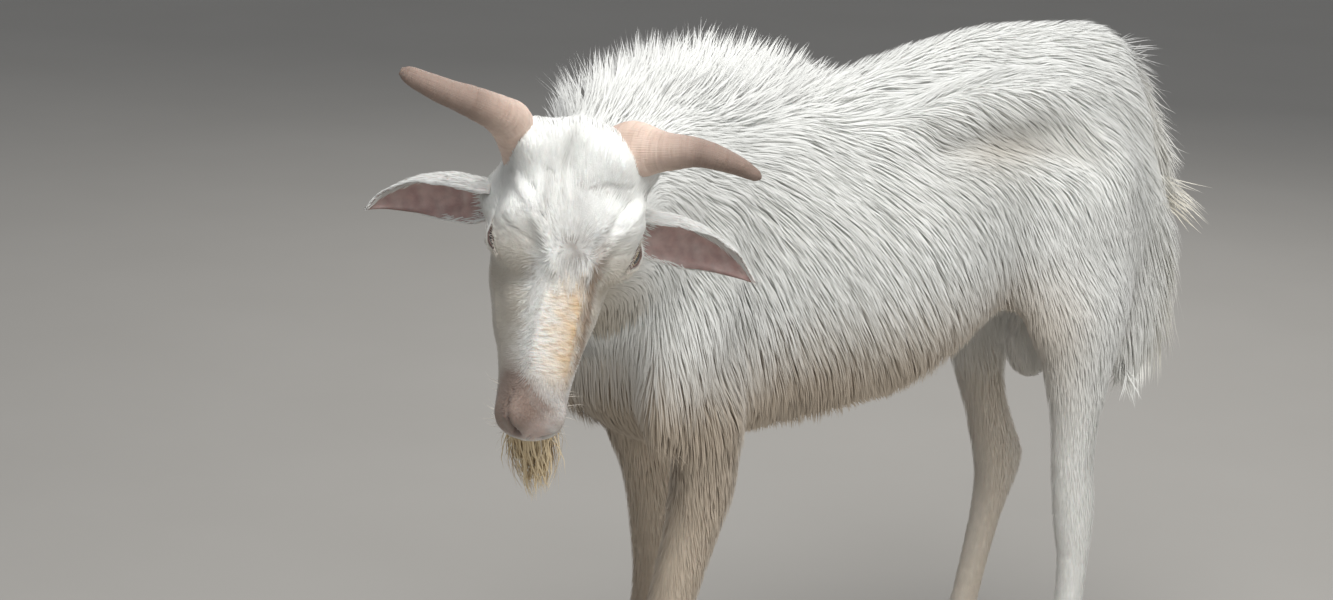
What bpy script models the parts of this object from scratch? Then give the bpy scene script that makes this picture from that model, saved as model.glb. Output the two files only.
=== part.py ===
"""A white horned goat, life-size and standing still, with its head lowered and turned to its left.

Metres, +Z up. The goat faces -Y, its left side is +X, and it stands on the floor at Z = 0.
Every solid reaches to the tips of the coat. The flesh is modelled whole, fused, and parted by thin cuts;
horns, eyes, ears, beard, tail and hooves are made alone, and each sits in a seat cut for it.
"""

import math

import bmesh
import bpy
import numpy as np
from mathutils import Matrix, Vector

# Driving dimensions
NECK_TURN = math.radians(14)  # how far the forehand is bent to the goat's left
BEND_STARTS_Y = 0.15
BEND_LENGTH = 0.45
CUT_GAP = 0.0006  # between two lengths of flesh
SEAT_GAP = 0.0004  # between a horn, eye, ear or hoof and the flesh that it sits in
SHOULDER_FORWARD = {1: 0.020, -1: -0.035}  # the left shoulder is carried forward and the right one back
THIGH_BACK = {1: 0.0, -1: 0.022}  # the right hind leg stands further back

# The head is modelled level, facing -Y, with its origin midway between the eyes, and is then placed
HEAD_PLACE = Vector((0.225, -0.428, 0.612))
HEAD_YAW = math.radians(62)
HEAD_DROP = math.radians(71)
HEAD_ROLL = math.radians(11.5)
EYE_RADIUS = 0.0128
EYE_PLACE = Vector((0.0415, -0.002, 0.005))  # the left eye's middle
LID_OPENING = (0.0130, 0.0125, 0.0085)  # half depth, half length and half height of the gap of the lids

EAR_TIP = {1: (0.146, 0.008, -0.036), -1: (-0.122, 0.013, -0.070)}
EAR_HALF_WIDTH = 0.0200
EAR_WIDEST_AT = 0.36  # share of the ear's length

TORSO_VOXEL = 0.007
HEAD_VOXEL = 0.003
WHOLE_VOXEL = 0.0042
RING = 28  # points round a loft

COAT = ("coat_white", (0.86, 0.84, 0.79), 0.85)
BEARD_HAIR = ("beard_straw", (0.70, 0.56, 0.34), 0.85)
EAR_SKIN = ("ear_pink", (0.78, 0.58, 0.53), 0.70)
HORN = ("horn_tan", (0.66, 0.46, 0.36), 0.50)
EYE = ("eye_pale", (0.62, 0.60, 0.44), 0.10)
HOOF = ("hoof_grey", (0.42, 0.36, 0.29), 0.55)

SIDES = {1: "left", -1: "right"}

# Triangles that each length of flesh keeps
TRIANGLES = {
    "trunk": 1480,
    "neck": 560,
    "head": 1400,
    "foreleg_left": 290,
    "foreleg_right": 290,
    "hindleg_left": 320,
    "hindleg_right": 320,
}


# ---------------------------------------------------------------- tools
def clear_scene():
    for old in list(bpy.data.objects):
        bpy.data.objects.remove(old)


def material(finish):
    name, colour, roughness = finish
    made = bpy.data.materials.get(name)
    if made is None:
        made = bpy.data.materials.new(name)
        made.use_nodes = True
        shader = made.node_tree.nodes["Principled BSDF"]
        shader.inputs["Base Color"].default_value = (*colour, 1.0)
        shader.inputs["Roughness"].default_value = roughness
        shader.inputs["Metallic"].default_value = 0.0
    return made


def add_object(name, shape):
    """An object in the scene from a bmesh, which is freed."""
    data = bpy.data.meshes.new(name)
    shape.to_mesh(data)
    shape.free()
    made = bpy.data.objects.new(name, data)
    bpy.context.scene.collection.objects.link(made)
    return made


def smooth_rows(rows, steps):
    """Rows of numbers with a Catmull-Rom curve drawn through them, steps to each gap."""
    rows = np.array(rows, float)
    padded = np.vstack([2 * rows[0] - rows[1], rows, 2 * rows[-1] - rows[-2]])
    found = []
    for i in range(len(rows) - 1):
        a, b, c, d = padded[i : i + 4]
        for t in np.linspace(0, 1, steps, endpoint=False):
            up_to_square = 2 * b + (c - a) * t + (2 * a - 5 * b + 4 * c - d) * t**2
            found.append(0.5 * (up_to_square + (3 * b - a - 3 * c + d) * t**3))
    return np.array(found + [rows[-1]])


def loft(name, rings):
    """A closed skin over rings of points, with a cap at each end."""
    shape = bmesh.new()
    rows = [[shape.verts.new(p) for p in ring] for ring in rings]
    count = len(rows[0])
    for low, high in zip(rows, rows[1:]):
        for k in range(count):
            after = (k + 1) % count
            shape.faces.new((low[k], low[after], high[after], high[k]))
    shape.faces.new(rows[0][::-1])
    shape.faces.new(rows[-1])
    bmesh.ops.recalc_face_normals(shape, faces=shape.faces)
    return add_object(name, shape)


def barrel_ring(y, centre, half_width, rise, fall, roof, keel):
    """A section across Y: roof and keel above 1 pinch its top and bottom, and below 1 fill them out."""
    ring = []
    for k in range(RING):
        turn = 2 * math.pi * k / RING
        s, c = math.sin(turn), math.cos(turn)
        pinch = roof if c > 0 else keel
        out = math.copysign(abs(s) ** pinch, s) * half_width
        ring.append((out, y, centre + (rise if c > 0 else fall) * c))
    return ring


def tube(name, stations, across=Vector((1, 0, 0)), steps=4, ring=RING):
    """A limb through stations of x, y, z, half width across and half depth, square to its own path."""
    rows = smooth_rows(stations, steps)
    points = [Vector(row[:3]) for row in rows]
    rings = []
    for i, row in enumerate(rows):
        along = (points[min(i + 1, len(points) - 1)] - points[max(i - 1, 0)]).normalized()
        side = (across - along * across.dot(along)).normalized()
        depth = along.cross(side)
        half_side, half_depth = side * row[3], depth * row[4]
        turns = [2 * math.pi * k / ring for k in range(ring)]
        rings.append([points[i] + half_side * math.cos(a) + half_depth * math.sin(a) for a in turns])
    return loft(name, rings)


def ball(name, centre, radii, turn=Matrix.Identity(4), meridians=24):
    shape = bmesh.new()
    placed = Matrix.Translation(Vector(centre)) @ turn @ Matrix.Diagonal((*radii, 1))
    rings = meridians // 2
    bmesh.ops.create_uvsphere(shape, u_segments=meridians, v_segments=rings, radius=1, matrix=placed)
    return add_object(name, shape)


def both_sides(build):
    """build(side) for the left (+1) and the right (-1)."""
    return [piece for side in SIDES for piece in build(side)]


def applied(piece):
    """The piece with its modifiers applied."""
    graph = bpy.context.evaluated_depsgraph_get()
    baked = bpy.data.meshes.new_from_object(piece.evaluated_get(graph))
    piece.modifiers.clear()
    piece.data = baked
    return piece


def joined(name, pieces):
    shape = bmesh.new()
    for piece in pieces:
        shape.from_mesh(piece.data)
        bpy.data.objects.remove(piece)
    return add_object(name, shape)


def shells(shape):
    """The points of each loose shell of a bmesh, the largest first."""
    seen, found = set(), []
    for start in shape.verts:
        if start in seen:
            continue
        shell, todo = [], [start]
        seen.add(start)
        while todo:
            point = todo.pop()
            shell.append(point)
            for edge in point.link_edges:
                other = edge.other_vert(point)
                if other not in seen:
                    seen.add(other)
                    todo.append(other)
        found.append(shell)
    return sorted(found, key=len, reverse=True)


def keep_largest(piece):
    """Drops every loose shell but the one with the most points."""
    shape = bmesh.new()
    shape.from_mesh(piece.data)
    for shell in shells(shape)[1:]:
        bmesh.ops.delete(shape, geom=shell, context="VERTS")
    shape.to_mesh(piece.data)
    shape.free()
    return piece


def fused(name, pieces, voxel, rounds):
    """One skin over the pieces, softened where they meet."""
    whole = joined(name, pieces)
    remesh = whole.modifiers.new("remesh", "REMESH")
    remesh.mode = "VOXEL"
    remesh.voxel_size = voxel
    soften = whole.modifiers.new("soften", "SMOOTH")
    soften.factor = 0.5
    soften.iterations = rounds
    return keep_largest(applied(whole))


def swollen(piece, by):
    """A copy pushed out along its normals, to cut a seat for the piece with a gap round it."""
    copy = bpy.data.objects.new(piece.name + "_seat", piece.data.copy())
    bpy.context.scene.collection.objects.link(copy)
    for point, normal in zip(copy.data.vertices, [n.vector.copy() for n in copy.data.vertex_normals]):
        point.co += normal * by
    return copy


def cut(host, cutter):
    """Takes the cutter out of the host, and removes the cutter."""
    bite = host.modifiers.new("cut", "BOOLEAN")
    bite.operation = "DIFFERENCE"
    bite.object = cutter
    applied(host)
    bpy.data.objects.remove(cutter)


def hollows_filled(piece):
    """Makes the piece its own convex hull."""
    shape = bmesh.new()
    shape.from_mesh(piece.data)
    hull = bmesh.ops.convex_hull(shape, input=shape.verts)
    kept = set(hull["geom"])
    outer = [face for face in shape.faces if face in kept]
    on_hull = {v for face in outer for v in face.verts}
    bmesh.ops.delete(shape, geom=[face for face in shape.faces if face not in kept], context="FACES_ONLY")
    bmesh.ops.delete(shape, geom=[v for v in shape.verts if v not in on_hull], context="VERTS")
    bmesh.ops.recalc_face_normals(shape, faces=shape.faces)
    shape.to_mesh(piece.data)
    shape.free()
    return piece


def seat(host, guest, filled=False):
    """Makes room in the host for the guest, or for the guest with its hollows filled."""
    room = swollen(guest, SEAT_GAP)
    cut(host, hollows_filled(room) if filled else room)
    keep_largest(host)


def thinned(piece, triangles):
    """The piece with its faces collapsed to about this many triangles."""
    shape = bmesh.new()
    shape.from_mesh(piece.data)
    bmesh.ops.triangulate(shape, faces=shape.faces)
    now = len(shape.faces)
    shape.to_mesh(piece.data)
    shape.free()
    if now > triangles:
        collapse = piece.modifiers.new("collapse", "DECIMATE")
        collapse.ratio = triangles / now
        applied(piece)
    return piece


def bent(point):
    """A point of the straight goat, carried round with its forehand."""
    share = min(max((BEND_STARTS_Y - point[1]) / BEND_LENGTH, 0), 1)
    turn = NECK_TURN * share * share * (3 - 2 * share)
    return Matrix.Rotation(turn, 3, "Z") @ Vector(point)


def bend(piece):
    for point in piece.data.vertices:
        point.co = bent(point.co)
    return piece


# ---------------------------------------------------------------- trunk
# y, height of the widest place, half width, rise to the back, fall to the belly, roof, keel
TRUNK = (
    (-0.305, 0.500, 0.026, 0.045, 0.035, 1.0, 1.0),
    (-0.285, 0.508, 0.048, 0.080, 0.062, 1.0, 1.0),
    (-0.250, 0.514, 0.072, 0.122, 0.098, 1.0, 1.0),
    (-0.200, 0.522, 0.087, 0.156, 0.130, 1.1, 0.9),
    (-0.130, 0.520, 0.098, 0.170, 0.140, 1.2, 0.9),
    (-0.020, 0.508, 0.110, 0.158, 0.131, 1.2, 0.9),
    (0.070, 0.508, 0.112, 0.165, 0.127, 1.2, 0.9),
    (0.140, 0.525, 0.096, 0.162, 0.123, 1.3, 0.9),
    (0.200, 0.550, 0.080, 0.145, 0.118, 1.3, 1.0),
    (0.300, 0.570, 0.070, 0.122, 0.116, 1.2, 1.0),
    (0.352, 0.580, 0.056, 0.102, 0.090, 1.0, 1.0),
    (0.388, 0.590, 0.031, 0.072, 0.050, 1.0, 1.0),
)


def muscles(side):
    """Shoulder, upper arm, hip bone, the ridge from it to the pin bone, thigh and breeches."""
    lean_back = Matrix.Rotation(math.radians(-22), 4, "X")
    lean_forward = Matrix.Rotation(math.radians(14), 4, "X")
    forward, back = SHOULDER_FORWARD[side], THIGH_BACK[side]
    breeches = (
        (side * 0.042, 0.346, 0.574, 0.026, 0.030),
        (side * 0.048, 0.358, 0.520, 0.030, 0.046),
        (side * 0.052, 0.366, 0.462, 0.028, 0.056),
        (side * 0.057, 0.352, 0.420, 0.024, 0.044),
        (side * 0.062, 0.326 + back, 0.376, 0.014, 0.020),
    )
    hip = (side * 0.060, 0.105, 0.632, 0.019, 0.019)
    middle = (side * 0.058, 0.230, 0.630, 0.021, 0.021)
    pin = (side * 0.040, 0.357, 0.606, 0.020, 0.020)
    return [
        ball("shoulder", (side * 0.064, -0.215 - forward, 0.530), (0.034, 0.058, 0.125), lean_back),
        ball("upper_arm", (side * 0.066, -0.195 - forward, 0.440), (0.031, 0.052, 0.055)),
        tube("hip_ridge", (hip, middle, pin), across=Vector((0, 0, 1))),
        ball("hip_bone", (side * 0.062, 0.104, 0.634), (0.022, 0.026, 0.020)),
        ball("thigh", (side * 0.062, 0.265 + back, 0.520), (0.040, 0.090, 0.105), lean_forward),
        ball("pin_bone", (side * 0.038, 0.356, 0.592), (0.026, 0.028, 0.032)),
        tube("breeches", breeches),
    ]


def torso():
    barrel = loft("barrel", [barrel_ring(*row) for row in smooth_rows(TRUNK, 5)])
    groin = ball("groin", (0, 0.286, 0.402), (0.027, 0.034, 0.044))
    return bend(fused("torso", [barrel, groin] + both_sides(muscles), TORSO_VOXEL, 12))


# ---------------------------------------------------------------- legs
# height, distance from the middle, half width across, half depth along
FORE_LEG = (
    (0.470, 0.061, 0.026, 0.040),
    (0.400, 0.063, 0.028, 0.043),
    (0.345, 0.057, 0.0240, 0.0330),
    (0.285, 0.051, 0.0210, 0.0240),
    (0.238, 0.048, 0.0190, 0.0205),
    (0.213, 0.047, 0.0215, 0.0235),
    (0.182, 0.046, 0.0175, 0.0190),
    (0.125, 0.045, 0.0150, 0.0165),
    (0.082, 0.045, 0.0185, 0.0205),
    (0.052, 0.045, 0.0175, 0.0190),
    (0.030, 0.045, 0.0215, 0.0215),
    (0.018, 0.045, 0.0180, 0.0180),
)
HIND_LEG = (
    (0.520, 0.061, 0.034, 0.066),
    (0.455, 0.072, 0.037, 0.064),
    (0.410, 0.074, 0.031, 0.046),
    (0.360, 0.072, 0.0240, 0.0300),
    (0.305, 0.068, 0.0195, 0.0225),
    (0.258, 0.066, 0.0195, 0.0240),
    (0.216, 0.065, 0.0165, 0.0185),
    (0.150, 0.063, 0.0145, 0.0165),
    (0.088, 0.061, 0.0180, 0.0195),
    (0.054, 0.060, 0.0175, 0.0190),
    (0.030, 0.060, 0.0215, 0.0215),
    (0.018, 0.060, 0.0180, 0.0180),
)
HEEL = ((0.365, 0.070), (0.300, 0.067), (0.268, 0.066), (0.228, 0.065))  # height, distance from the middle

# Where each leg's middle line stands along Y, at the heights above
FORE_LINE = {
    1: (-0.225, -0.205, -0.211, -0.232, -0.245, -0.251, -0.252, -0.255, -0.260, -0.270, -0.280, -0.282),
    -1: (-0.160, -0.122, -0.110, -0.110, -0.113, -0.117, -0.115, -0.114, -0.117, -0.127, -0.137, -0.139),
}
HIND_LINE = {
    1: (0.268, 0.262, 0.266, 0.269, 0.273, 0.283, 0.287, 0.287, 0.286, 0.276, 0.267, 0.265),
    -1: (0.285, 0.292, 0.295, 0.298, 0.309, 0.321, 0.311, 0.291, 0.270, 0.258, 0.249, 0.247),
}
HEEL_LINE = {1: (0.288, 0.294, 0.299, 0.290), -1: (0.308, 0.336, 0.350, 0.326)}
HEEL_CORD = ((0.012, 0.014), (0.0095, 0.0100), (0.0110, 0.0115), (0.0100, 0.0110))

CLAW_LENGTH, CLAW_WIDTH, CLAW_HEIGHT = 0.052, 0.0205, 0.034
CLEFT_HALF_WIDTH = 0.0022
CLAW_CORNERS = 12
CLAW_WALLS = ((0.0, 1.0, 0.0), (0.5, 0.94, 0.07), (1.0, 0.74, 0.20))  # shares: height, size, lean back


def foreleg(side):
    stations = [(side * x, y, z, a, b) for (z, x, a, b), y in zip(FORE_LEG, FORE_LINE[side])]
    return [bend(tube("foreleg", stations))]


def hindleg(side):
    stations = [(side * x, y, z, a, b) for (z, x, a, b), y in zip(HIND_LEG, HIND_LINE[side])]
    heel = [(side * x, y, z, a, b) for (z, x), y, (a, b) in zip(HEEL, HEEL_LINE[side], HEEL_CORD)]
    return [tube("hindleg", stations), tube("heel_tendon", heel)]


def feet():
    """{name: (point between the two claws on the floor, the way the toes point)}."""
    places = {}
    for side, word in SIDES.items():
        fore = bent((side * FORE_LEG[-1][1], FORE_LINE[side][-1] - 0.006, 0))
        hind = Vector((side * HIND_LEG[-1][1], HIND_LINE[side][-1] - 0.006, 0))
        fore_toes = Matrix.Rotation(NECK_TURN, 3, "Z") @ Vector((side * 0.06, -1, 0))
        places[f"fore_{word}"] = (fore, fore_toes.normalized())
        places[f"hind_{word}"] = (hind, Vector((side * 0.10, -1, 0)).normalized())
    return places


def claw(name, foot, toes, side):
    """One half of a cloven hoof, flat underneath, with its toe pointed and its front wall sloping back."""
    across = Vector((-toes.y, toes.x, 0)) * side
    rings = []
    for rise, shrink, back in CLAW_WALLS:
        ring = []
        for k in range(CLAW_CORNERS):
            turn = 2 * math.pi * k / CLAW_CORNERS
            fore = math.cos(turn)
            toe = max(fore, 0)
            half = 0.5 * math.sin(turn) * (1 - 0.55 * toe**2) - 0.10 * toe
            at = foot + toes * CLAW_LENGTH * (0.5 * shrink * fore - 0.55 * back)
            at = at + across * (CLEFT_HALF_WIDTH + CLAW_WIDTH * (0.5 + half * shrink))
            ring.append((at.x, at.y, CLAW_HEIGHT * rise))
        rings.append(ring)
    return loft(name, rings)


def dewclaw(name, foot, toes, side):
    across = Vector((-toes.y, toes.x, 0)) * side
    root = foot - toes * 0.006 + across * 0.0115 + Vector((0, 0, 0.066))
    tip = root - toes * 0.026 - Vector((0, 0, 0.014))
    middle = root.lerp(tip, 0.5)
    stations = ((*root, 0.0052, 0.0056), (*middle, 0.0054, 0.0058), (*tip, 0.0026, 0.0030))
    return tube(name, stations, across=across, steps=1, ring=8)


# ---------------------------------------------------------------- head
def head_frame():
    """From the level head to the goat's frame."""
    turned = Matrix.Rotation(HEAD_YAW, 4, "Z") @ Matrix.Rotation(HEAD_ROLL, 4, "Y")
    return Matrix.Translation(HEAD_PLACE) @ turned @ Matrix.Rotation(HEAD_DROP, 4, "X")


# y, height of the widest place, half width, rise to the brow line, fall to the throat, roof, keel
SKULL = (
    (0.088, -0.018, 0.024, 0.022, 0.022, 1.0, 1.0),
    (0.078, -0.014, 0.040, 0.036, 0.042, 0.9, 1.0),
    (0.056, -0.008, 0.047, 0.043, 0.062, 0.8, 1.0),
    (0.030, -0.004, 0.049, 0.044, 0.070, 0.8, 1.0),
    (0.002, -0.004, 0.046, 0.043, 0.068, 0.8, 1.0),
    (-0.024, -0.012, 0.0390, 0.045, 0.056, 0.9, 0.9),
    (-0.050, -0.018, 0.0322, 0.044, 0.045, 0.9, 0.9),
    (-0.078, -0.020, 0.0260, 0.040, 0.037, 0.9, 0.8),
    (-0.102, -0.022, 0.0232, 0.035, 0.030, 0.8, 0.8),
    (-0.118, -0.022, 0.0203, 0.025, 0.024, 0.8, 0.8),
    (-0.127, -0.022, 0.0140, 0.014, 0.015, 0.9, 0.9),
)


def head_forms(side):
    """Orbit, brow, cheek, angle of the jaw, horn root, ear root, nostril wing and lip."""
    return [
        ball("orbit", (side * 0.041, 0.000, 0.008), (0.0180, 0.0220, 0.0200)),
        ball("brow", (side * 0.029, 0.024, 0.026), (0.0200, 0.0230, 0.0180)),
        ball("cheek", (side * 0.027, -0.018, -0.040), (0.0130, 0.0440, 0.0280)),
        ball("jaw_angle", (side * 0.026, 0.018, -0.056), (0.0130, 0.0270, 0.0230)),
        ball("horn_root", (side * 0.034, 0.064, 0.022), (0.0240, 0.0230, 0.0220)),
        ball("ear_root", (side * 0.046, 0.030, -0.016), (0.0160, 0.0200, 0.0170)),
        ball("nostril", (side * 0.0135, -0.113, 0.000), (0.0110, 0.0120, 0.0130)),
        ball("lip", (side * 0.0140, -0.108, -0.024), (0.0120, 0.0170, 0.0130)),
    ]


def jaw():
    stations = (
        (0, 0.030, -0.068, 0.027, 0.016),
        (0, -0.010, -0.064, 0.022, 0.014),
        (0, -0.055, -0.054, 0.016, 0.012),
        (0, -0.092, -0.046, 0.016, 0.011),
        (0, -0.112, -0.042, 0.013, 0.010),
    )
    return tube("jaw", stations)


def head():
    pieces = [loft("skull", [barrel_ring(*row) for row in smooth_rows(SKULL, 4)]), jaw()]
    pieces.append(ball("poll", (0, 0.070, 0.022), (0.034, 0.024, 0.022)))
    made = fused("head", pieces + both_sides(head_forms), HEAD_VOXEL, 6)
    made.data.transform(head_frame())
    return made


HORNS = {
    1: (
        (0.026, 0.050, 0.008, 0.0225, 0.0160),
        (0.034, 0.062, 0.032, 0.0210, 0.0150),
        (0.048, 0.071, 0.048, 0.0130, 0.0130),
        (0.067, 0.073, 0.057, 0.0095, 0.0105),
        (0.089, 0.070, 0.060, 0.0070, 0.0080),
        (0.107, 0.066, 0.056, 0.0045, 0.0050),
        (0.112, 0.065, 0.055, 0.0020, 0.0020),
    ),
    -1: (
        (-0.033, 0.048, 0.008, 0.0215, 0.0160),
        (-0.045, 0.061, 0.032, 0.0200, 0.0150),
        (-0.064, 0.073, 0.049, 0.0130, 0.0130),
        (-0.087, 0.076, 0.059, 0.0100, 0.0110),
        (-0.113, 0.080, 0.061, 0.0080, 0.0085),
        (-0.129, 0.085, 0.058, 0.0055, 0.0060),
        (-0.135, 0.087, 0.057, 0.0025, 0.0025),
    ),
}


def horn(side):
    """Thick and flattened at its root, sweeping outwards to a blunt tip; the right one turns up more."""
    made = tube(f"horn_{SIDES[side]}", HORNS[side], across=Vector((0, -1, 0.2)), steps=2, ring=12)
    made.data.transform(head_frame())
    return made


def ear(side):
    """A cupped leaf, rolled at its root, held out sideways and open to the front and below."""
    root = Vector((side * 0.046, 0.030, -0.014))
    tip = Vector(EAR_TIP[side])
    along = (tip - root).normalized()
    opening = Vector((0, -0.62, 0.78))
    opening = (opening - along * opening.dot(along)).normalized()
    across = along.cross(opening)
    rings = []
    for t in np.linspace(0, 1, 10):
        rolled = math.radians(112 - 56 * t)
        radius = ear_half_width(t) / math.sin(min(rolled, math.pi / 2))
        inner = radius - min(0.0036 - 0.0012 * t, radius * 0.75)
        centre = root.lerp(tip, t) - opening * (radius * math.cos(rolled) * 0.5)
        turns = np.linspace(-rolled, rolled, 6)
        outward = [across * math.sin(turn) - opening * math.cos(turn) for turn in turns]
        ring = [centre + way * radius for way in outward]
        rings.append(ring + [centre + way * inner for way in reversed(outward)])
    made = loft(f"ear_{SIDES[side]}", rings)
    made.data.transform(head_frame())
    return made


def ear_half_width(t):
    """Half the breadth of the ear at this share of its length: widest a third of the way out."""
    if t < EAR_WIDEST_AT:
        return EAR_HALF_WIDTH * (0.62 + 0.38 * math.sin(math.pi / 2 * t / EAR_WIDEST_AT))
    fallen = (t - EAR_WIDEST_AT) / (1 - EAR_WIDEST_AT)
    return max(EAR_HALF_WIDTH * max(math.cos(math.pi / 2 * fallen), 0) ** 0.8, 0.0026)


def eye(side):
    centre = Vector((side * EYE_PLACE.x, EYE_PLACE.y, EYE_PLACE.z))
    pole_out = Matrix.Rotation(math.radians(90), 4, "Y")
    made = ball(f"eye_{SIDES[side]}", centre, (EYE_RADIUS,) * 3, pole_out, meridians=14)
    made.data.transform(head_frame())
    return made


def lids_gap(side):
    """What is cut away from the side of the head to bare the front of the eye."""
    outside = Vector((side * (EYE_PLACE.x + EYE_RADIUS + 0.004), EYE_PLACE.y, EYE_PLACE.z))
    made = ball("lids_gap", outside, LID_OPENING, meridians=14)
    made.data.transform(head_frame())
    return made


def beard():
    """The tuft under the chin, hanging straight down."""
    chin = head_frame() @ Vector((0, -0.092, -0.050))
    stations = (
        (*chin, 0.017, 0.017),
        (*(chin + Vector((0.002, -0.003, -0.022))), 0.019, 0.018),
        (*(chin + Vector((0.003, -0.004, -0.046))), 0.012, 0.011),
        (*(chin + Vector((0.004, -0.004, -0.070))), 0.0035, 0.0035),
    )
    return tube("beard", stations, across=Vector((0.5, 0.86, 0)), steps=2, ring=10)


# ---------------------------------------------------------------- neck and mane
def neck():
    """From the breast and withers to the back of the head."""
    frame = head_frame()
    behind_jaw = frame @ Vector((0.006, 0.034, -0.050))
    in_head = frame @ Vector((0, 0.030, -0.010))
    base = bent((0, -0.215, 0.572))
    inner = bent((0, -0.120, 0.560))
    middle = base.lerp(behind_jaw, 0.5) + Vector((0, 0, 0.008))
    stations = (
        (*inner, 0.080, 0.122),
        (*base, 0.082, 0.124),
        (*middle, 0.066, 0.094),
        (*behind_jaw, 0.047, 0.056),
        (*in_head, 0.036, 0.042),
    )
    return tube("neck", stations, across=Vector((0.9, 0.4, 0)), steps=6)


def crest():
    """The mane standing along the neck and over the withers."""
    inside_poll = head_frame() @ Vector((-0.002, 0.060, 0.004))
    behind_poll = head_frame() @ Vector((-0.006, 0.086, -0.040))
    stations = (
        (*inside_poll, 0.018, 0.016),
        (*behind_poll, 0.024, 0.022),
        (*(bent((0.0, -0.305, 0.684)) + Vector((0.020, 0, 0))), 0.028, 0.034),
        (*bent((0, -0.225, 0.682)), 0.030, 0.036),
        (*bent((0, -0.140, 0.678)), 0.030, 0.036),
        (*bent((0, -0.060, 0.658)), 0.026, 0.030),
        (*bent((0, 0.020, 0.640)), 0.020, 0.022),
    )
    return tube("crest", stations, across=Vector((0.7, 0.7, 0)), steps=5)


# ---------------------------------------------------------------- tail
def tail():
    """Short and hanging, with its hair fanned out behind it."""
    stations = (
        (0, 0.362, 0.642, 0.016, 0.010),
        (0, 0.388, 0.632, 0.020, 0.012),
        (0, 0.408, 0.595, 0.026, 0.013),
        (0, 0.434, 0.545, 0.026, 0.015),
        (0, 0.456, 0.493, 0.010, 0.006),
    )
    return tube("tail", stations, steps=2, ring=12)


# ---------------------------------------------------------------- parting the flesh
def plate(centre, turn, size):
    """A thin plate to part the flesh with, of this size across and along."""
    shape = bmesh.new()
    bmesh.ops.create_cube(shape, size=1)
    placed = Matrix.Translation(Vector(centre)) @ turn @ Matrix.Diagonal((*size, CUT_GAP, 1))
    bmesh.ops.transform(shape, matrix=placed, verts=shape.verts)
    return add_object("plate", shape)


def facing(direction):
    """The turn that sets a plate square to a direction."""
    return direction.to_track_quat("Z", "Y").to_matrix().to_4x4()


def sloping(side, slope, tilt):
    """The turn of a plate that rises outwards by the slope and falls backwards by the tilt."""
    return Matrix.Rotation(-tilt, 4, "X") @ Matrix.Rotation(-side * slope, 4, "Y")


def plates():
    """{name of the length that the plate parts from the trunk: plate}, in the order of cutting."""
    jaw_back = head_frame() @ Vector((0.004, 0.048, -0.074))
    chest = bent((0, -0.215, 0.575))
    neck_base = bent((0, -0.262, 0.590))
    made = {
        "head": plate(jaw_back, facing(chest - jaw_back), (0.24, 0.24)),
        "neck": plate(neck_base, facing(bent((0.02, -0.62, 0.720)) - neck_base), (0.30, 0.36)),
    }
    for side, word in SIDES.items():
        armpit = bent((side * 0.066, (FORE_LINE[side][1] - 0.175) / 2, 0.388))
        groin = Vector((side * 0.074, 0.262 + THIGH_BACK[side] / 2, 0.443))
        made[f"foreleg_{word}"] = plate(armpit, sloping(side, math.radians(28), 0), (0.152, 0.28))
        steep = sloping(side, math.radians(50), math.radians(15))
        made[f"hindleg_{word}"] = plate(groin, steep, (0.232, 0.36))
    return made


def part_off(whole, name):
    """Takes the second largest shell out of the whole as an object of its own."""
    shape = bmesh.new()
    shape.from_mesh(whole.data)
    kept = set(shells(shape)[1])
    bmesh.ops.delete(shape, geom=[v for v in shape.verts if v not in kept], context="VERTS")
    keep_largest(whole)
    return add_object(name, shape)


# ---------------------------------------------------------------- assembly
def flesh():
    """{name: length of flesh}, parted and thinned."""
    pieces = [torso(), head(), neck(), crest()] + both_sides(foreleg) + both_sides(hindleg)
    trunk = fused("trunk", pieces, WHOLE_VOXEL, 4)
    lengths = {"trunk": trunk}
    for name, cutter in plates().items():
        cut(trunk, cutter)
        lengths[name] = part_off(trunk, name)
    for name, piece in lengths.items():
        thinned(piece, TRIANGLES[name])
    return lengths


def dressed(piece, finish):
    piece.data.materials.clear()
    piece.data.materials.append(material(finish))
    piece.data.shade_smooth()
    return piece


def settled(pieces):
    """Moves the goat so that its origin is under the middle of its box."""
    places = [v.co for piece in pieces for v in piece.data.vertices]
    middle = [(min(p[k] for p in places) + max(p[k] for p in places)) / 2 for k in range(2)]
    shift = Matrix.Translation((-middle[0], -middle[1], 0))
    for piece in pieces:
        piece.data.transform(shift)


def main():
    clear_scene()
    lengths = flesh()
    finished = [dressed(piece, COAT) for piece in lengths.values()]
    for side in SIDES:
        cut(lengths["head"], lids_gap(side))
        for guest, finish in ((horn(side), HORN), (eye(side), EYE), (ear(side), EAR_SKIN)):
            seat(lengths["head"], guest, filled=finish is EAR_SKIN)
            finished.append(dressed(guest, finish))
    chin_hair = beard()
    seat(lengths["head"], chin_hair)
    rump_hair = tail()
    seat(lengths["trunk"], rump_hair)
    finished += [dressed(chin_hair, BEARD_HAIR), dressed(rump_hair, COAT)]
    for place, (foot, toes) in feet().items():
        end, word = place.split("_")
        leg = lengths[f"{end}leg_{word}"]
        for side, edge in ((1, "a"), (-1, "b")):
            for guest in (
                claw(f"claw_{place}_{edge}", foot, toes, side),
                dewclaw(f"dewclaw_{place}_{edge}", foot, toes, side),
            ):
                seat(leg, guest)
                finished.append(dressed(guest, HOOF))
    settled(finished)
    goat = bpy.data.collections.new("goat")
    bpy.context.scene.collection.children.link(goat)
    for piece in finished:
        bpy.context.scene.collection.objects.unlink(piece)
        goat.objects.link(piece)


if __name__ == "__main__":
    main()
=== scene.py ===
"""The looks of a white horned goat: skin, coat, horns, ears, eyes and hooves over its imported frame.

Metres, +Z up. The goat faces -Y and its left side is +X. Two other frames are used. The straight frame is
the trunk's own, before the forehand is bent to the goat's left. The level head looks along -Y, with +Z out
of its forehead and its origin midway between the eyes.
"""

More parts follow.
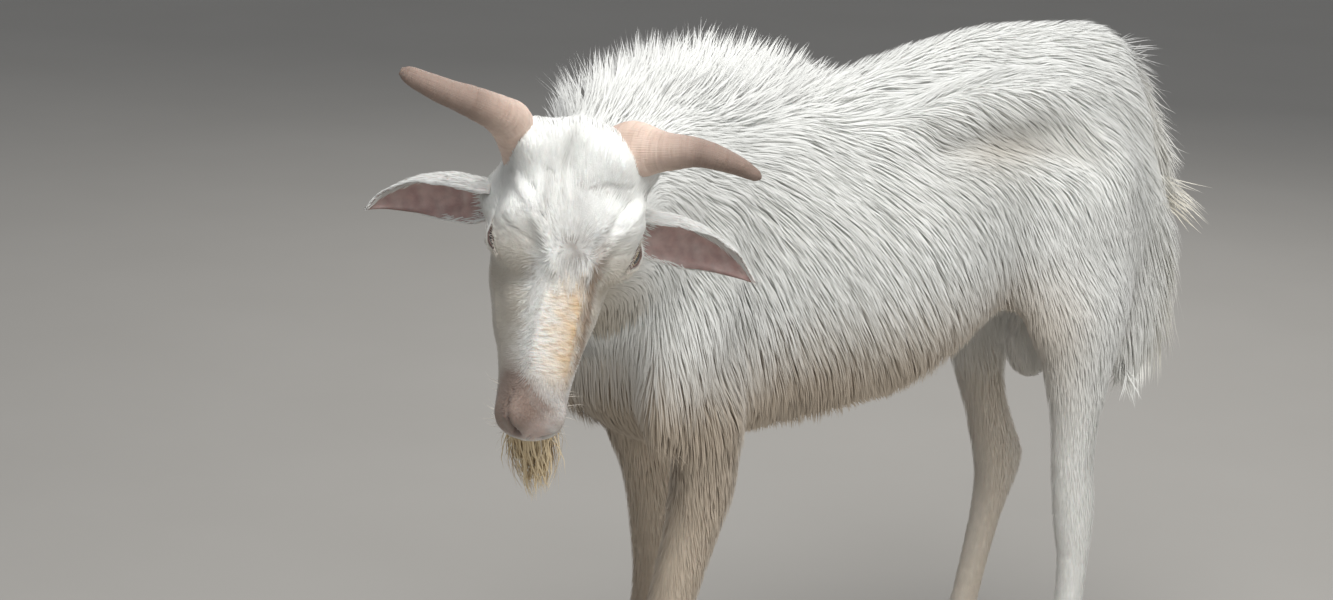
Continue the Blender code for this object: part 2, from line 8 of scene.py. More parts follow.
import logging
import math
from dataclasses import dataclass, field
from enum import Enum

import bmesh
import bpy
import numpy as np
from mathutils import Matrix, Vector
from mathutils.bvhtree import BVHTree
from mathutils.kdtree import KDTree


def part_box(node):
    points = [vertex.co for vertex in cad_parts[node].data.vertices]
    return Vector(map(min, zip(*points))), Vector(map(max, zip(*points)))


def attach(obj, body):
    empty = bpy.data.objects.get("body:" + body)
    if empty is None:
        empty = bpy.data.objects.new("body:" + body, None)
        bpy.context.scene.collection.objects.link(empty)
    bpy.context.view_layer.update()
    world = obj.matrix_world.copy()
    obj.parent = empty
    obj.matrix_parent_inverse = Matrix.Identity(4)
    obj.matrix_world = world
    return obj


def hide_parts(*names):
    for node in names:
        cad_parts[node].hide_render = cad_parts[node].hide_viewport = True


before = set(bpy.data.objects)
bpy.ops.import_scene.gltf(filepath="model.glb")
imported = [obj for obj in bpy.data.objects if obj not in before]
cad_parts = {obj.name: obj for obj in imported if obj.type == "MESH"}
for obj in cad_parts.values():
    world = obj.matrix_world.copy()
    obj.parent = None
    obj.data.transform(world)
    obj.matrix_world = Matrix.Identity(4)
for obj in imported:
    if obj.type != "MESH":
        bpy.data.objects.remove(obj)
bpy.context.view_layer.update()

Array = np.ndarray
Piece = bpy.types.Object
Material = bpy.types.Material
Tree = bpy.types.NodeTree
Socket = bpy.types.NodeSocket

LOG = logging.getLogger("goat")
SIDES = {1: "left", -1: "right"}
SAME_POINT = 0.00005
# Millimetres, and tenths of one, in a metre: tables of places are in whole numbers of one or the other
MM = 1000
TENTHS = 10000
FULL_TURN = 6.2832

# Where the frame's goat stands: the same sizes as its solids have
HEAD_PLACE = Vector((0.225, -0.428, 0.612))
HEAD_TURN = Matrix.Rotation(math.radians(62), 4, "Z") @ Matrix.Rotation(math.radians(11.5), 4, "Y")
HEAD_TURN = HEAD_TURN @ Matrix.Rotation(math.radians(71), 4, "X")
EYE_PLACE = Vector((0.0415, -0.002, 0.005))
NECK_TURN = math.radians(14)
BEND_STARTS_Y = 0.15
BEND_LENGTH = 0.45


# ---- frames
def box_middle(node: str) -> Vector:
    """The middle of a node's box."""
    low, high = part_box(node)
    return (low + high) / 2


def trunk_origin() -> Vector:
    """Works out where the straight frame stands from the frame's two eyes.

    Returns:
        The straight frame's origin in the row frame.
    """
    between = (box_middle("eye_left") + box_middle("eye_right")) / 2
    head_origin = between - HEAD_TURN.to_3x3() @ Vector((0, EYE_PLACE.y, EYE_PLACE.z))
    shift = head_origin - HEAD_PLACE
    return Vector((shift.x, shift.y, 0))


ORIGIN = trunk_origin()
HOME = np.array(ORIGIN)
HEAD_FRAME = Matrix.Translation(HEAD_PLACE + ORIGIN) @ HEAD_TURN


def from_head(points: Array) -> Array:
    """Points of the level head, in the row frame."""
    matrix = np.array(HEAD_FRAME)
    return np.asarray(points, float) @ matrix[:3, :3].T + matrix[:3, 3]


def to_head(points: Array) -> Array:
    """Points of the row frame, in the level head's frame."""
    matrix = np.array(HEAD_FRAME.inverted())
    return np.asarray(points, float) @ matrix[:3, :3].T + matrix[:3, 3]


def turn_from_head(ways: Array) -> Array:
    """Directions of the level head, in the row frame."""
    return np.asarray(ways, float) @ np.array(HEAD_FRAME)[:3, :3].T


def bent(points: Array) -> Array:
    """Carries the straight goat's forehand round to its left.

    Args:
        points: places in the straight frame.

    Returns:
        The same places in the row frame.
    """
    points = np.asarray(points, float)
    share = np.clip((BEND_STARTS_Y - points[:, 1]) / BEND_LENGTH, 0, 1)
    turn = NECK_TURN * share * share * (3 - 2 * share)
    x = points[:, 0] * np.cos(turn) - points[:, 1] * np.sin(turn)
    y = points[:, 0] * np.sin(turn) + points[:, 1] * np.cos(turn)
    return np.stack([x, y, points[:, 2]], 1) + HOME


# ---- numbers
def unit(rows: Array) -> Array:
    """Each row at length one."""
    return rows / np.maximum(np.linalg.norm(rows, axis=-1, keepdims=True), 1e-9)


def eased(low: float, high: float, value: Array) -> Array:
    """0 below low, 1 above high, and a smooth rise between them."""
    share = np.clip((value - low) / (high - low), 0, 1)
    return share * share * (3 - 2 * share)


def bump_at(points: Array, place: tuple, reach: tuple) -> Array:
    """A smooth hump of height 1 at a place, that falls off over its reach along X, Y and Z."""
    away = (points - np.array(place)) / np.array(reach)
    return np.exp(-np.sum(away * away, axis=1))


def ripple(points: Array, wave: float, seed: int) -> Array:
    """Draws smooth noise from a few sine waves.

    Args:
        points: where it is read.
        wave: about the size of a lump.
        seed: for the waves.

    Returns:
        A number from about -1 to 1 for each point.
    """
    draw = np.random.default_rng(seed)
    total = np.zeros(len(points))
    for _ in range(7):
        way = unit(draw.normal(size=(1, 3)))[0] * 2 * math.pi / wave * draw.uniform(0.7, 1.5)
        total += np.sin(points @ way + draw.uniform(0, 2 * math.pi))
    return total / 3.2


# ---- meshes
def placed(name: str, data: bpy.types.ID) -> Piece:
    """Puts an object round some data into the scene.

    Args:
        name: of the object.
        data: its mesh, lamp or lens.

    Returns:
        The object.
    """
    made = bpy.data.objects.new(name, data)
    bpy.context.scene.collection.objects.link(made)
    return made


def mesh_object(name: str, verts: Array, faces: list) -> Piece:
    """Makes a mesh of any faces.

    Args:
        name: of the piece.
        verts: its points.
        faces: the points of each face.

    Returns:
        The piece.
    """
    data = bpy.data.meshes.new(name)
    data.from_pydata([tuple(v) for v in verts], [], faces)
    data.update()
    return placed(name, data)


def set_normals(piece: Piece, normals: Array) -> None:
    """Gives a piece's face corners their own shading normals.

    Args:
        piece: the piece.
        normals: one for each corner.
    """
    layer = piece.data.attributes.new("custom_normal", "FLOAT_VECTOR", "CORNER")
    layer.data.foreach_set("vector", np.asarray(normals, np.float32).ravel())
    piece.data.update()


def triangle_object(name: str, verts: Array, tris: Array) -> Piece:
    """Makes a mesh of triangles from large arrays.

    Args:
        name: of the piece.
        verts: its points.
        tris: the points of each triangle.

    Returns:
        The piece.
    """
    data = bpy.data.meshes.new(name)
    data.vertices.add(len(verts))
    data.vertices.foreach_set("co", np.asarray(verts, np.float32).ravel())
    data.loops.add(tris.size)
    data.loops.foreach_set("vertex_index", np.asarray(tris, np.int32).ravel())
    data.polygons.add(len(tris))
    data.polygons.foreach_set("loop_start", np.arange(0, tris.size, 3, dtype=np.int32))
    data.update(calc_edges=True)
    return placed(name, data)


def read_rows(rows: bpy.types.bpy_prop_collection, name: str) -> Array:
    """Reads three numbers from each member of a mesh's collection.

    Args:
        rows: the collection.
        name: of the property.

    Returns:
        A row for each member.
    """
    flat = np.empty(len(rows) * 3, np.float32)
    rows.foreach_get(name, flat)
    return flat.reshape(-1, 3).astype(float)


def points_of(piece: Piece) -> Array:
    """The places of a mesh's points."""
    return read_rows(piece.data.vertices, "co")


def normals_of(piece: Piece) -> Array:
    """The normals of a mesh's points."""
    return read_rows(piece.data.vertex_normals, "vector")


def set_points(piece: Piece, places: Array) -> None:
    """Moves a mesh's points."""
    piece.data.vertices.foreach_set("co", np.asarray(places, np.float32).ravel())
    piece.data.update()


def applied(piece: Piece) -> Piece:
    """Turns a piece's modifiers into plain mesh.

    Args:
        piece: the piece.

    Returns:
        The same piece with none left.
    """
    graph = bpy.context.evaluated_depsgraph_get()
    baked = bpy.data.meshes.new_from_object(piece.evaluated_get(graph))
    piece.modifiers.clear()
    piece.data = baked
    return piece


def softened(piece: Piece, times: int) -> Piece:
    """Smooths a piece's shape a few times.

    Args:
        piece: the piece.
        times: how often.

    Returns:
        The same piece as plain mesh.
    """
    soften = piece.modifiers.new("soften", "SMOOTH")
    soften.factor = 0.5
    soften.iterations = times
    return applied(piece)


def colour_attribute(piece: Piece, name: str, rgb: Array) -> None:
    """Writes a colour for each point of a piece, over any that it has.

    Args:
        piece: the piece.
        name: of the attribute.
        rgb: the colours.
    """
    layers = piece.data.attributes
    layer = layers.get(name) or layers.new(name, "FLOAT_COLOR", "POINT")
    rgba = np.ones((len(rgb), 4), np.float32)
    rgba[:, :3] = rgb
    layer.data.foreach_set("color", rgba.ravel())


def number_attribute(piece: Piece, name: str, values: Array) -> None:
    """Writes a number for each point of a piece."""
    layer = piece.data.attributes.new(name, "FLOAT", "POINT")
    layer.data.foreach_set("value", np.asarray(values, np.float32))


def ellipsoid(centre: tuple, radii: tuple, frame_of: Matrix = Matrix()) -> bmesh.types.BMesh:
    """Makes a ball that is longer one way than another.

    Args:
        centre: its middle.
        radii: along X, Y and Z.
        frame_of: the frame that both are given in.

    Returns:
        The ball in the row frame.
    """
    shape = bmesh.new()
    spot = Matrix.Translation(centre) @ Matrix.Diagonal((*radii, 1))
    bmesh.ops.create_uvsphere(shape, u_segments=24, v_segments=14, radius=1, matrix=spot)
    bmesh.ops.transform(shape, matrix=frame_of, verts=shape.verts)
    return shape


def sides_of(place: tuple) -> tuple:
    """Both sides for a place off the middle, and one for a place on it."""
    return (1, -1) if place[0] else (1,)


def mixed(colour: Array, other: tuple, share: Array) -> Array:
    """A colour moved by a share towards another."""
    return colour + (np.array(other) - colour) * share[:, None]


# ---- the lie of the coat
@dataclass(frozen=True)
class Lie:
    """How the coat grows at one place of the skin.

    place and way are in the frame that the table says; place, length and depth are in millimetres; lift
    is 0 where the hair lies flat and 1 where it stands; clump is how far its locks gather into points.
    """

    place: tuple
    way: tuple
    length: float
    depth: float
    lift: float = 0.05
    clump: float = 0.5

    @property
    def spot(self) -> Array:
        """The place in metres."""
        return np.array(self.place) / MM


# The straight goat's left side; the right side is its mirror image
TRUNK_LIE = (
    Lie((0, 50, 655), (0, 1, -0.1), 36, 12, 0.3),
    Lie((0, 130, 682), (0, 1, 0), 26, 9, 0.12),
    Lie((0, 220, 697), (0, 1, -0.05), 24, 9, 0.14),
    Lie((0, 320, 690), (0, 1, -0.25), 34, 10, 0.3),
    Lie((0, 395, 655), (0, 0.8, -0.6), 46, 12, 0.66),
    Lie((45, 60, 650), (0.2, 0.9, -0.3), 36, 12, 0.15),
    Lie((45, 200, 680), (0.2, 0.9, -0.3), 26, 10, 0.1),
    Lie((45, 330, 665), (0.1, 0.9, -0.5), 30, 11, 0.15),
    Lie((75, -50, 620), (0.1, 0.75, -0.65), 46, 11, 0.05, 0.35),
    Lie((75, 40, 600), (0.1, 0.75, -0.65), 42, 11, 0.05, 0.38),
    Lie((70, 130, 620), (0.1, 0.8, -0.55), 32, 10, 0.05, 0.38),
    Lie((70, 250, 610), (0.05, 0.7, -0.7), 32, 10, 0.05, 0.3),
    Lie((55, 350, 600), (0, 0.6, -0.8), 36, 11, 0.12, 0.2),
    Lie((112, -40, 520), (0, 0.6, -0.8), 46, 11, 0.05, 0.5),
    Lie((112, 60, 520), (0, 0.52, -0.86), 42, 11, 0.05, 0.5),
    Lie((95, 160, 520), (0, 0.42, -0.9), 36, 11, 0.05, 0.4),
    Lie((102, 260, 530), (0, 0.32, -0.95), 30, 10, 0.04, 0.12),
    Lie((90, 330, 500), (0, 0.25, -0.97), 34, 10, 0.05, 0.12),
    Lie((55, 400, 510), (-0.05, 0.35, -0.92), 60, 15, 0.24, 0.45),
    Lie((55, 420, 440), (0, 0.2, -0.98), 76, 17, 0.34, 0.55),
    Lie((20, 440, 520), (0, 0.6, -0.8), 52, 18, 0.55, 0.6),
    Lie((20, 440, 440), (0, 0.45, -0.9), 72, 20, 0.55, 0.7),
    Lie((55, 370, 395), (0, 0, -1), 48, 12, 0.12, 0.6),
    Lie((90, -40, 430), (-0.1, 0.4, -0.9), 42, 11, 0.06, 0.4),
    Lie((85, 80, 420), (-0.1, 0.4, -0.9), 42, 12, 0.06, 0.5),
    Lie((50, 0, 395), (-0.3, 0.8, -0.5), 38, 10, 0.1, 0.5),
    Lie((0, -60, 385), (0, 0.9, -0.3), 36, 9, 0.12, 0.5),
    Lie((0, 100, 395), (0, 0.9, -0.3), 32, 9, 0.12, 0.5),
    Lie((0, 200, 430), (0, 0.8, -0.5), 20, 6, 0.1),
    Lie((20, 280, 390), (0, 0.3, -0.95), 12, 4, 0.05),
    Lie((100, -190, 560), (0, 0.5, -0.85), 52, 13, 0.06, 0.9),
    Lie((100, -190, 470), (0, 0.3, -0.95), 46, 12, 0.05, 0.7),
    Lie((75, -260, 520), (0, 0.2, -1), 36, 10, 0.05, 0.25),
    Lie((30, -300, 500), (0, 0, -1), 34, 10, 0.05, 0.25),
    Lie((30, -270, 430), (0, 0.1, -1), 30, 9, 0.05, 0.25),
    Lie((0, -180, 395), (0, 0.6, -0.8), 32, 9, 0.08, 0.5),
    Lie((30, 270, 440), (0, 0.2, -1), 14, 4, 0.05),
    Lie((30, -160, 370), (0, 0.2, -1), 14, 4, 0.05),
)
# The mane stands along these places of the straight goat
MANE_LIE = (
    Lie((0, -300, 695), (0, 0.25, 1), 44, 34, 0.95, 0.55),
    Lie((0, -225, 705), (0, 0.3, 1), 46, 34, 0.95, 0.55),
    Lie((0, -140, 703), (0, 0.4, 1), 46, 34, 0.9, 0.55),
    Lie((0, -70, 685), (0, 0.6, 1), 42, 28, 0.75, 0.55),
    Lie((0, -10, 668), (0, 0.9, 0.6), 40, 18, 0.5, 0.55),
)
# On the bent neck, in the straight frame's places but already carried round
NECK_LIE = (
    Lie((165, -257, 600), (-0.4, 0.6, -0.7), 30, 10, 0.05, 0.12),
    Lie((130, -215, 560), (-0.3, 0.55, -0.8), 36, 11, 0.05, 0.12),
    Lie((110, -200, 640), (-0.45, 0.7, -0.4), 42, 14, 0.2, 0.5),
    Lie((150, -260, 665), (-0.5, 0.7, -0.3), 36, 14, 0.3, 0.5),
    Lie((73, -333, 600), (-0.5, 0.5, -0.75), 30, 10, 0.05, 0.12),
    Lie((20, -280, 640), (-0.4, 0.7, -0.5), 42, 14, 0.2, 0.5),
    Lie((140, -320, 510), (-0.3, 0.4, -0.9), 28, 9, 0.05, 0.12),
    Lie((90, -290, 470), (-0.2, 0.2, -1), 32, 10, 0.05, 0.12),
)
# On the level head's left side; the right side is its mirror image
HEAD_LIE = (
    Lie((0, -50, 26), (0, -1, -0.05), 7, 1.5, 0.1, 0.15),
    Lie((0, -85, 18), (0, -1, -0.2), 6, 1.2, 0.08, 0.15),
    Lie((0, -115, 0), (0, -0.8, -0.5), 3, 0.6, 0.05, 0.15),
    Lie((0, -127, -22), (0, -0.5, -0.8), 1.5, 0.3, 0.05, 0),
    Lie((0, -10, 38), (0, -1, 0), 9, 2, 0.1, 0.15),
    Lie((12, 10, 40), (1, 0.25, 0), 7, 1.4, 0.08, 0.1),
    Lie((3, 12, 40), (0.6, 0.9, 0), 7, 1.4, 0.08, 0.1),
    Lie((0, 30, 42), (0, 1, 0.1), 8, 1.6, 0.12, 0.15),
    Lie((30, 40, 42), (0.2, 1, 0.1), 8, 1.6, 0.12, 0.15),
    Lie((0, 65, 45), (0, 1, 0.2), 12, 3, 0.14, 0.15),
    Lie((0, 88, 20), (0, 1, -0.3), 26, 8, 0.42, 0.3),
    Lie((32, -30, -20), (0, 0.4, -0.8), 7, 1.8, 0.05, 0.15),
    Lie((42, 15, -45), (0.1, 0.8, -0.6), 11, 2.6, 0.05, 0.15),
    Lie((20, -30, -66), (0, 0.8, -0.5), 14, 3, 0.08, 0.15),
    Lie((0, -60, -60), (0, 0.6, -0.8), 12, 3, 0.1, 0.15),
    Lie((0, -100, -50), (0, 0.2, -1), 12, 2, 0.1, 0.15),
    Lie((0, 30, -80), (0, 0.9, -0.3), 22, 6, 0.06, 0.15),
    Lie((50, 0, 25), (0.1, 0.6, -0.5), 6, 1.4, 0.05, 0.15),
    Lie((45, -20, 5), (0, -0.2, -0.9), 5, 1.2, 0.05, 0.15),
    Lie((50, 32, 12), (0.3, 0.9, 0), 9, 2.5, 0.08, 0.15),
    Lie((55, 32, -16), (0.8, 0.5, 0), 10, 2.5, 0.1, 0.15),
    Lie((22, -95, -10), (0, 0.3, -0.9), 4, 0.9, 0.05, 0.15),
    Lie((16, -115, -30), (0, 0.2, -1), 2.5, 0.5, 0.05, 0),
    Lie((24, -60, 5), (0, -0.1, -0.9), 6, 1.4, 0.05, 0.15),
)


class Limb(Enum):
    """The four legs, by their nodes."""

    FORE_LEFT = "foreleg_left"
    FORE_RIGHT = "foreleg_right"
    HIND_LEFT = "hindleg_left"
    HIND_RIGHT = "hindleg_right"


# The hair down a leg: height in metres, length and depth in millimetres, and how far its locks gather
LEG_LIE = (
    (0.4, 24, 6.0, 0.2),
    (0.34, 16, 4.0, 0.2),
    (0.28, 12, 3.0, 0.2),
    (0.215, 9, 2.2, 0.3),
    (0.15, 7, 2.0, 0.2),
    (0.09, 8, 2.0, 0.2),
    (0.05, 9, 2.0, 0.3),
    (0.028, 7, 1.6, 0.3),
)


@dataclass
class CoatMap:
    """Blends the table of lies into one map over the whole skin."""

    softness: float = 0.012
    at_once: int = 20000
    places: Array = field(init=False)
    ways: Array = field(init=False)
    sizes: Array = field(init=False)

    def __post_init__(self) -> None:
        """Gathers every row of the tables in the row frame."""
        rows: list[tuple[Array, Array, Lie]] = []
        for lie in TRUNK_LIE + MANE_LIE:
            for side in sides_of(lie.place):
                place, way = (np.array([given]) * [side, 1, 1] for given in (lie.spot, lie.way))
                rows.append((bent(place), bent(place + way * 0.01) - bent(place), lie))
        for lie in NECK_LIE:
            rows.append((np.array([lie.spot]) + HOME, np.array([lie.way]), lie))
        for lie in HEAD_LIE:
            for side in sides_of(lie.place):
                mirror = np.array([side, 1, 1])
                rows.append((from_head([lie.spot * mirror]), turn_from_head([lie.way * mirror]), lie))
        rows += self.leg_rows()
        self.places = np.concatenate([row[0] for row in rows])
        self.ways = unit(np.concatenate([row[1] for row in rows]))
        self.sizes = np.array([(lie.length, lie.depth, lie.lift, lie.clump) for _, _, lie in rows])
        self.sizes[:, :2] *= 0.001

    @staticmethod
    def leg_rows() -> list[tuple[Array, Array, Lie]]:
        """Lays the table of the legs down each leg's own middle line.

        Returns:
            Rows of place, way and lie.
        """
        rows = []
        down = (0, 0.1, -1)
        for limb in Limb:
            places = points_of(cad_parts[limb.value])
            for height, length, depth, clump in LEG_LIE:
                near = places[np.abs(places[:, 2] - height) < 0.02]
                if len(near):
                    middle = (near.min(0) + near.max(0)) / 2
                    middle[2] = height
                    lie = Lie((0, 0, 0), down, length, depth, 0.06, clump)
                    rows.append((middle[None], np.array([down]), lie))
        return rows

    def at(self, points: Array, normals: Array) -> tuple[Array, Array]:
        """The lie of the coat at some points.

        Args:
            points: places on or near the skin.
            normals: the skin's normal at each.

        Returns:
            The way that the hair lies, along the skin, and rows of length, depth, lift and clump.
        """
        ways, sizes = [], []
        for start in range(0, len(points), self.at_once):
            part = points[start : start + self.at_once]
            away = np.linalg.norm(part[:, None] - self.places[None], axis=2)
            weight = 1 / (away * away + self.softness**2) ** 2
            weight /= weight.sum(1, keepdims=True)
            ways.append(weight @ self.ways)
            sizes.append(weight @ self.sizes)
        way = np.concatenate(ways)
        way = way - normals * np.sum(way * normals, axis=1, keepdims=True)
        return unit(way), np.concatenate(sizes)


# ---- markings and painted shade
# Painted shade in each hollow of the face: its place and reach in tenths of a millimetre, and its strength.
# They are between the eyes, above that, down the poll and by the brows
FACE_SHADES = (
    ((10, -30, 340), (110, 150, 150), 0.85),
    ((-50, 260, 380), (100, 130, 150), 0.32),
    ((-120, 560, 450), (35, 200, 300), 0.4),
    ((140, 380, 380), (170, 35, 120), 0.38),
    ((-240, 300, 380), (45, 200, 120), 0.36),
    ((170, -40, 330), (40, 180, 120), 0.5),
)


@dataclass(frozen=True)
class MarkingsAndShade:
    """The colours of the coat and of the skin that shows through it, with painted shade in hollows, low down
    and on the far side.
    """

    white: tuple = (0.85, 0.855, 0.83)
    straw: tuple = (0.69, 0.5, 0.31)
    umber: tuple = (0.36, 0.27, 0.2)
    # Brown of the muzzle, and the painted shadow that darkens its right side
    muzzle_and_shadow_brown: tuple = (0.25, 0.175, 0.14)
    # Brown painted shade, for the sides of the face and under each hip's ridge
    brown_shade: tuple = (0.54, 0.475, 0.38)
    nose: tuple = (0.6, 0.47, 0.42)
    # Painted shade in the mouth, nostrils and deeper folds, and the lids' dark skin
    crease_shade_and_lid: tuple = (0.075, 0.04, 0.034)
    # Painted shade for the face's hollows
    shade: tuple = (0.25, 0.225, 0.205)
    # Soil on the belly and legs, mixed with painted shade under the body and on its far side
    soil_and_shade_brown: tuple = (0.5, 0.4, 0.29)
    cream: tuple = (0.82, 0.75, 0.6)

    def at(self, points: Array) -> Array:
        """Colours the coat, or the skin under it.

        Args:
            points: places in the row frame.

        Returns:
            The colour at each.
        """
        head = to_head(points)
        mottle, fine = ripple(points, 0.05, 11), ripple(points, 0.009, 12)
        colour = np.tile(self.white, (len(points), 1))
        colour = self.face(colour, head, mottle, fine)
        colour = self.body(colour, points, ~self.on_head(head), mottle)
        chin = bump_at(head, (0, -0.095, -0.055), (0.02, 0.022, 0.02))
        return mixed(colour, self.straw, chin * 0.6) * (1 + 0.02 * fine[:, None])

    def face(self, colour: Array, head: Array, mottle: Array, fine: Array) -> Array:
        """Lays the golden strip, painted shade in the hollows, on the cheeks and by the nose, and the
        muzzle's brown and painted shadow over the face.

        Args:
            colour: of the coat so far.
            head: the points in the level head.
            mottle: coarse noise at each.
            fine: fine noise at each.

        Returns:
            The colours.
        """
        on_head = self.on_head(head)
        aside = self.off_middle(head) + 0.1 * fine
        golden = np.clip(0.5 + 0.55 * aside + 0.1 * fine, 0.1, 1.0)
        colour = mixed(colour, self.straw, self.strip_share(head) * golden)
        # Painted shade on the sides of the face in front of the eyes, brown as if lit from the ground
        cheek = eased(0.022, -0.02, head[:, 1]) * eased(0.9, 1.8, np.abs(aside)) * on_head
        colour = mixed(colour, self.brown_shade, cheek * (0.78 + 0.08 * mottle))
        # Painted shade in the face's hollows
        spots = [(np.array(spot) / TENTHS, share) for *spot, share in FACE_SHADES]
        hollow = sum(bump_at(head, place, reach) * share for (place, reach), share in spots)
        colour = mixed(colour, self.shade, np.clip(hollow * (1 + 0.2 * fine), 0, 0.9) * on_head)
        # Painted shadow down the nose's left side, beside the golden strip
        edge = np.exp(-(((aside - 1.22) / 0.26) ** 2)) * eased(-0.09, -0.07, head[:, 1])
        edge = edge * eased(0.01, -0.02, head[:, 1]) * (head[:, 2] > 0) * on_head
        colour = mixed(colour, self.umber, edge * 0.95)
        # Brown on the muzzle's sides, far darker on the right side, where it is painted shadow
        for side in SIDES:
            patch = bump_at(head, (side * 0.018, -0.107, -0.003), (0.0175, 0.0225, 0.02))
            patch = patch * (1.55 - 0.85 * side) * (1 + 0.2 * fine)
            colour = mixed(colour, self.muzzle_and_shadow_brown, np.clip(patch, 0, 0.9))
        front = bump_at(head, (-0.004, -0.106, 0.007), (0.014, 0.013, 0.016)) * (0.9 + 0.2 * fine)
        colour = mixed(colour, self.muzzle_and_shadow_brown, np.clip(front, 0, 0.8))
        nose = bump_at(head, (0.002, -0.119, -0.004), (0.0075, 0.012, 0.011)) * on_head
        return mixed(colour, self.nose, np.clip(nose * 1.5, 0, 0.9))

    def body(self, colour: Array, points: Array, off_head: Array, mottle: Array) -> Array:
        """Lays soil and mud mixed with painted shade low on the body, painted shade under the hip ridges,
        and cream over the rump.

        Args:
            colour: of the coat so far.
            points: places in the row frame.
            off_head: which of them aren't on the head.
            mottle: coarse noise at each.

        Returns:
            The colours.
        """
        straight, height = points - HOME, points[:, 2]
        back = straight[:, 1]
        fore = eased(0.02, -0.12, back)
        # Brown low on the body, most on the forehand: partly soil, partly painted shade under the body and
        # between the legs
        soil_and_shade = eased(0.5, 0.36, height) * (0.55 + 0.12 * mottle) * (0.12 + 0.75 * fore)
        inner = eased(0.075, 0.035, np.abs(straight[:, 0])) * eased(0.5, 0.42, height)
        soil_and_shade = soil_and_shade + inner * eased(0.36, 0.3, back) * 0.22
        # Painted shade low on the far (right) side, most towards the hind legs
        right = eased(0.02, -0.03, straight[:, 0]) * eased(0.42, 0.34, height)
        soil_and_shade = soil_and_shade + right * (0.5 - 0.45 * fore)
        soil_and_shade = soil_and_shade + eased(0.54, 0.44, height) * eased(0.27, 0.17, back) * 0.8
        soil_and_shade = soil_and_shade + eased(0.38, 0.22, height) * fore * 0.8
        colour = mixed(colour, self.soil_and_shade_brown, np.clip(soil_and_shade, 0, 0.85) * off_head)
        # Darker brown on the lower forelegs: partly mud, partly painted shade
        mud_and_shade = eased(0.33, 0.2, height) * fore * (0.45 + 0.1 * mottle)
        colour = mixed(colour, self.umber, mud_and_shade * off_head)
        # Painted shade in the hollow under each hip's ridge
        flank = bump_at(straight * [0, 1, 1], (0, 0.15, 0.603), (1, 0.07, 0.017))
        colour = mixed(colour, self.brown_shade, flank * (np.abs(straight[:, 0]) > 0.03) * 0.5)
        rump = bump_at(straight, (0, 0.43, 0.47), (0.09, 0.06, 0.11))
        return mixed(colour, self.cream, np.clip(rump * (0.6 + 0.3 * mottle), 0, 0.8))

    @staticmethod
    def on_head(head: Array) -> Array:
        """Which points of the level head's frame are on the head."""
        return np.linalg.norm(head + [0, 0.02, 0.02], axis=1) < 0.155

    @staticmethod
    def off_middle(head: Array) -> Array:
        """How far each point of the head is from the middle of the golden strip, in half breadths."""
        middle = np.interp(head[:, 1], (-0.085, -0.055, -0.03, -0.015), (0.003, 0.0008, -0.001, -0.0015))
        return (head[:, 0] - middle) / 0.0158

    def strip_share(self, head: Array) -> Array:
        """Draws the golden strip up the nose.

        Args:
            head: points in the level head's frame.

        Returns:
            How much of the strip each has.
        """
        ragged = 0.16 * ripple(head, 0.01, 14)
        strip = eased(1.3, 0.7, np.abs(self.off_middle(head)) + ragged)
        ends = eased(-0.098, -0.076, head[:, 1]) * eased(-0.006, -0.034, head[:, 1] + 0.02 * ragged)
        return strip * ends * eased(0.0, 0.008, head[:, 2]) * self.on_head(head)


MARKINGS_AND_SHADE = MarkingsAndShade()


# ---- shader tools
class Nodes:
    """Adds and links the nodes of one tree."""

    def __init__(self, tree: Tree) -> None:
        """Starts on a tree."""
        self.tree = tree

    def add(self, kind: str, inputs: dict | None = None, **settings) -> bpy.types.Node:
        """Adds a node.

        Args:
            kind: the node's type.
            inputs: values or outputs for its inputs, by name or number.
            settings: the node's own properties.

        Returns:
            The new node.
        """
        node = self.tree.nodes.new(kind)
        for name, value in settings.items():
            setattr(node, name, value)
        for key, value in (inputs or {}).items():
            self.feed(node.inputs[key], value)
        return node

    def feed(self, socket: Socket, value: object) -> None:
        """Links or sets an input.

        Args:
            socket: the input.
            value: an output to link, or a plain value.
        """
        if isinstance(value, Socket):
            self.tree.links.new(value, socket)
        else:
            socket.default_value = value

    def math(self, what: str, first: object, second: object = 0.0) -> Socket:
        """Works out one number from two."""
        return self.add("ShaderNodeMath", {0: first, 1: second}, operation=what).outputs[0]

    def times(self, first: object, second: object) -> Socket:
        """One number times another."""
        return self.math("MULTIPLY", first, second)

    def plus(self, first: object, second: object) -> Socket:
        """One number and another."""
        return self.math("ADD", first, second)

    def less(self, first: object, second: object) -> Socket:
        """One number less another."""
        return self.math("SUBTRACT", first, second)

    def mix(self, share: object, first: object, second: object, how: str = "MIX") -> Socket:
        """A mix of two colours."""
        node = self.add("ShaderNodeMix", {0: share, 6: first, 7: second}, data_type="RGBA", blend_type=how)
        return node.outputs[2]

    def place(self) -> Socket:
        """The place on the piece, in Object coordinates."""
        return self.add("ShaderNodeTexCoord").outputs["Object"]

    def spot(self, x: object, y: object, z: object = 0.0) -> Socket:
        """A place from three numbers."""
        return self.add("ShaderNodeCombineXYZ", {0: x, 1: y, 2: z}).outputs[0]

    def grey(self, level: object) -> Socket:
        """A grey of one level."""
        return self.add("ShaderNodeCombineColor", {0: level, 1: level, 2: level}).outputs[0]

    def read(self, name: str, part: str = "Fac") -> Socket:
        """What the mesh carries under a name: a number, or its Color."""
        return self.add("ShaderNodeAttribute", attribute_name=name).outputs[part]

    def noise(self, place: object, scale: object, detail: float) -> Socket:
        """Smooth noise."""
        return self.add("ShaderNodeTexNoise", {"Vector": place, "Scale": scale, "Detail": detail}).outputs[0]

    def ranged(self, value: object, low: float, high: float, at_low: float, at_high: float) -> Socket:
        """A number carried from one range to another, and held inside it."""
        carried = {0: value, 1: low, 2: high, 3: at_low, 4: at_high}
        return self.add("ShaderNodeMapRange", carried).outputs[0]


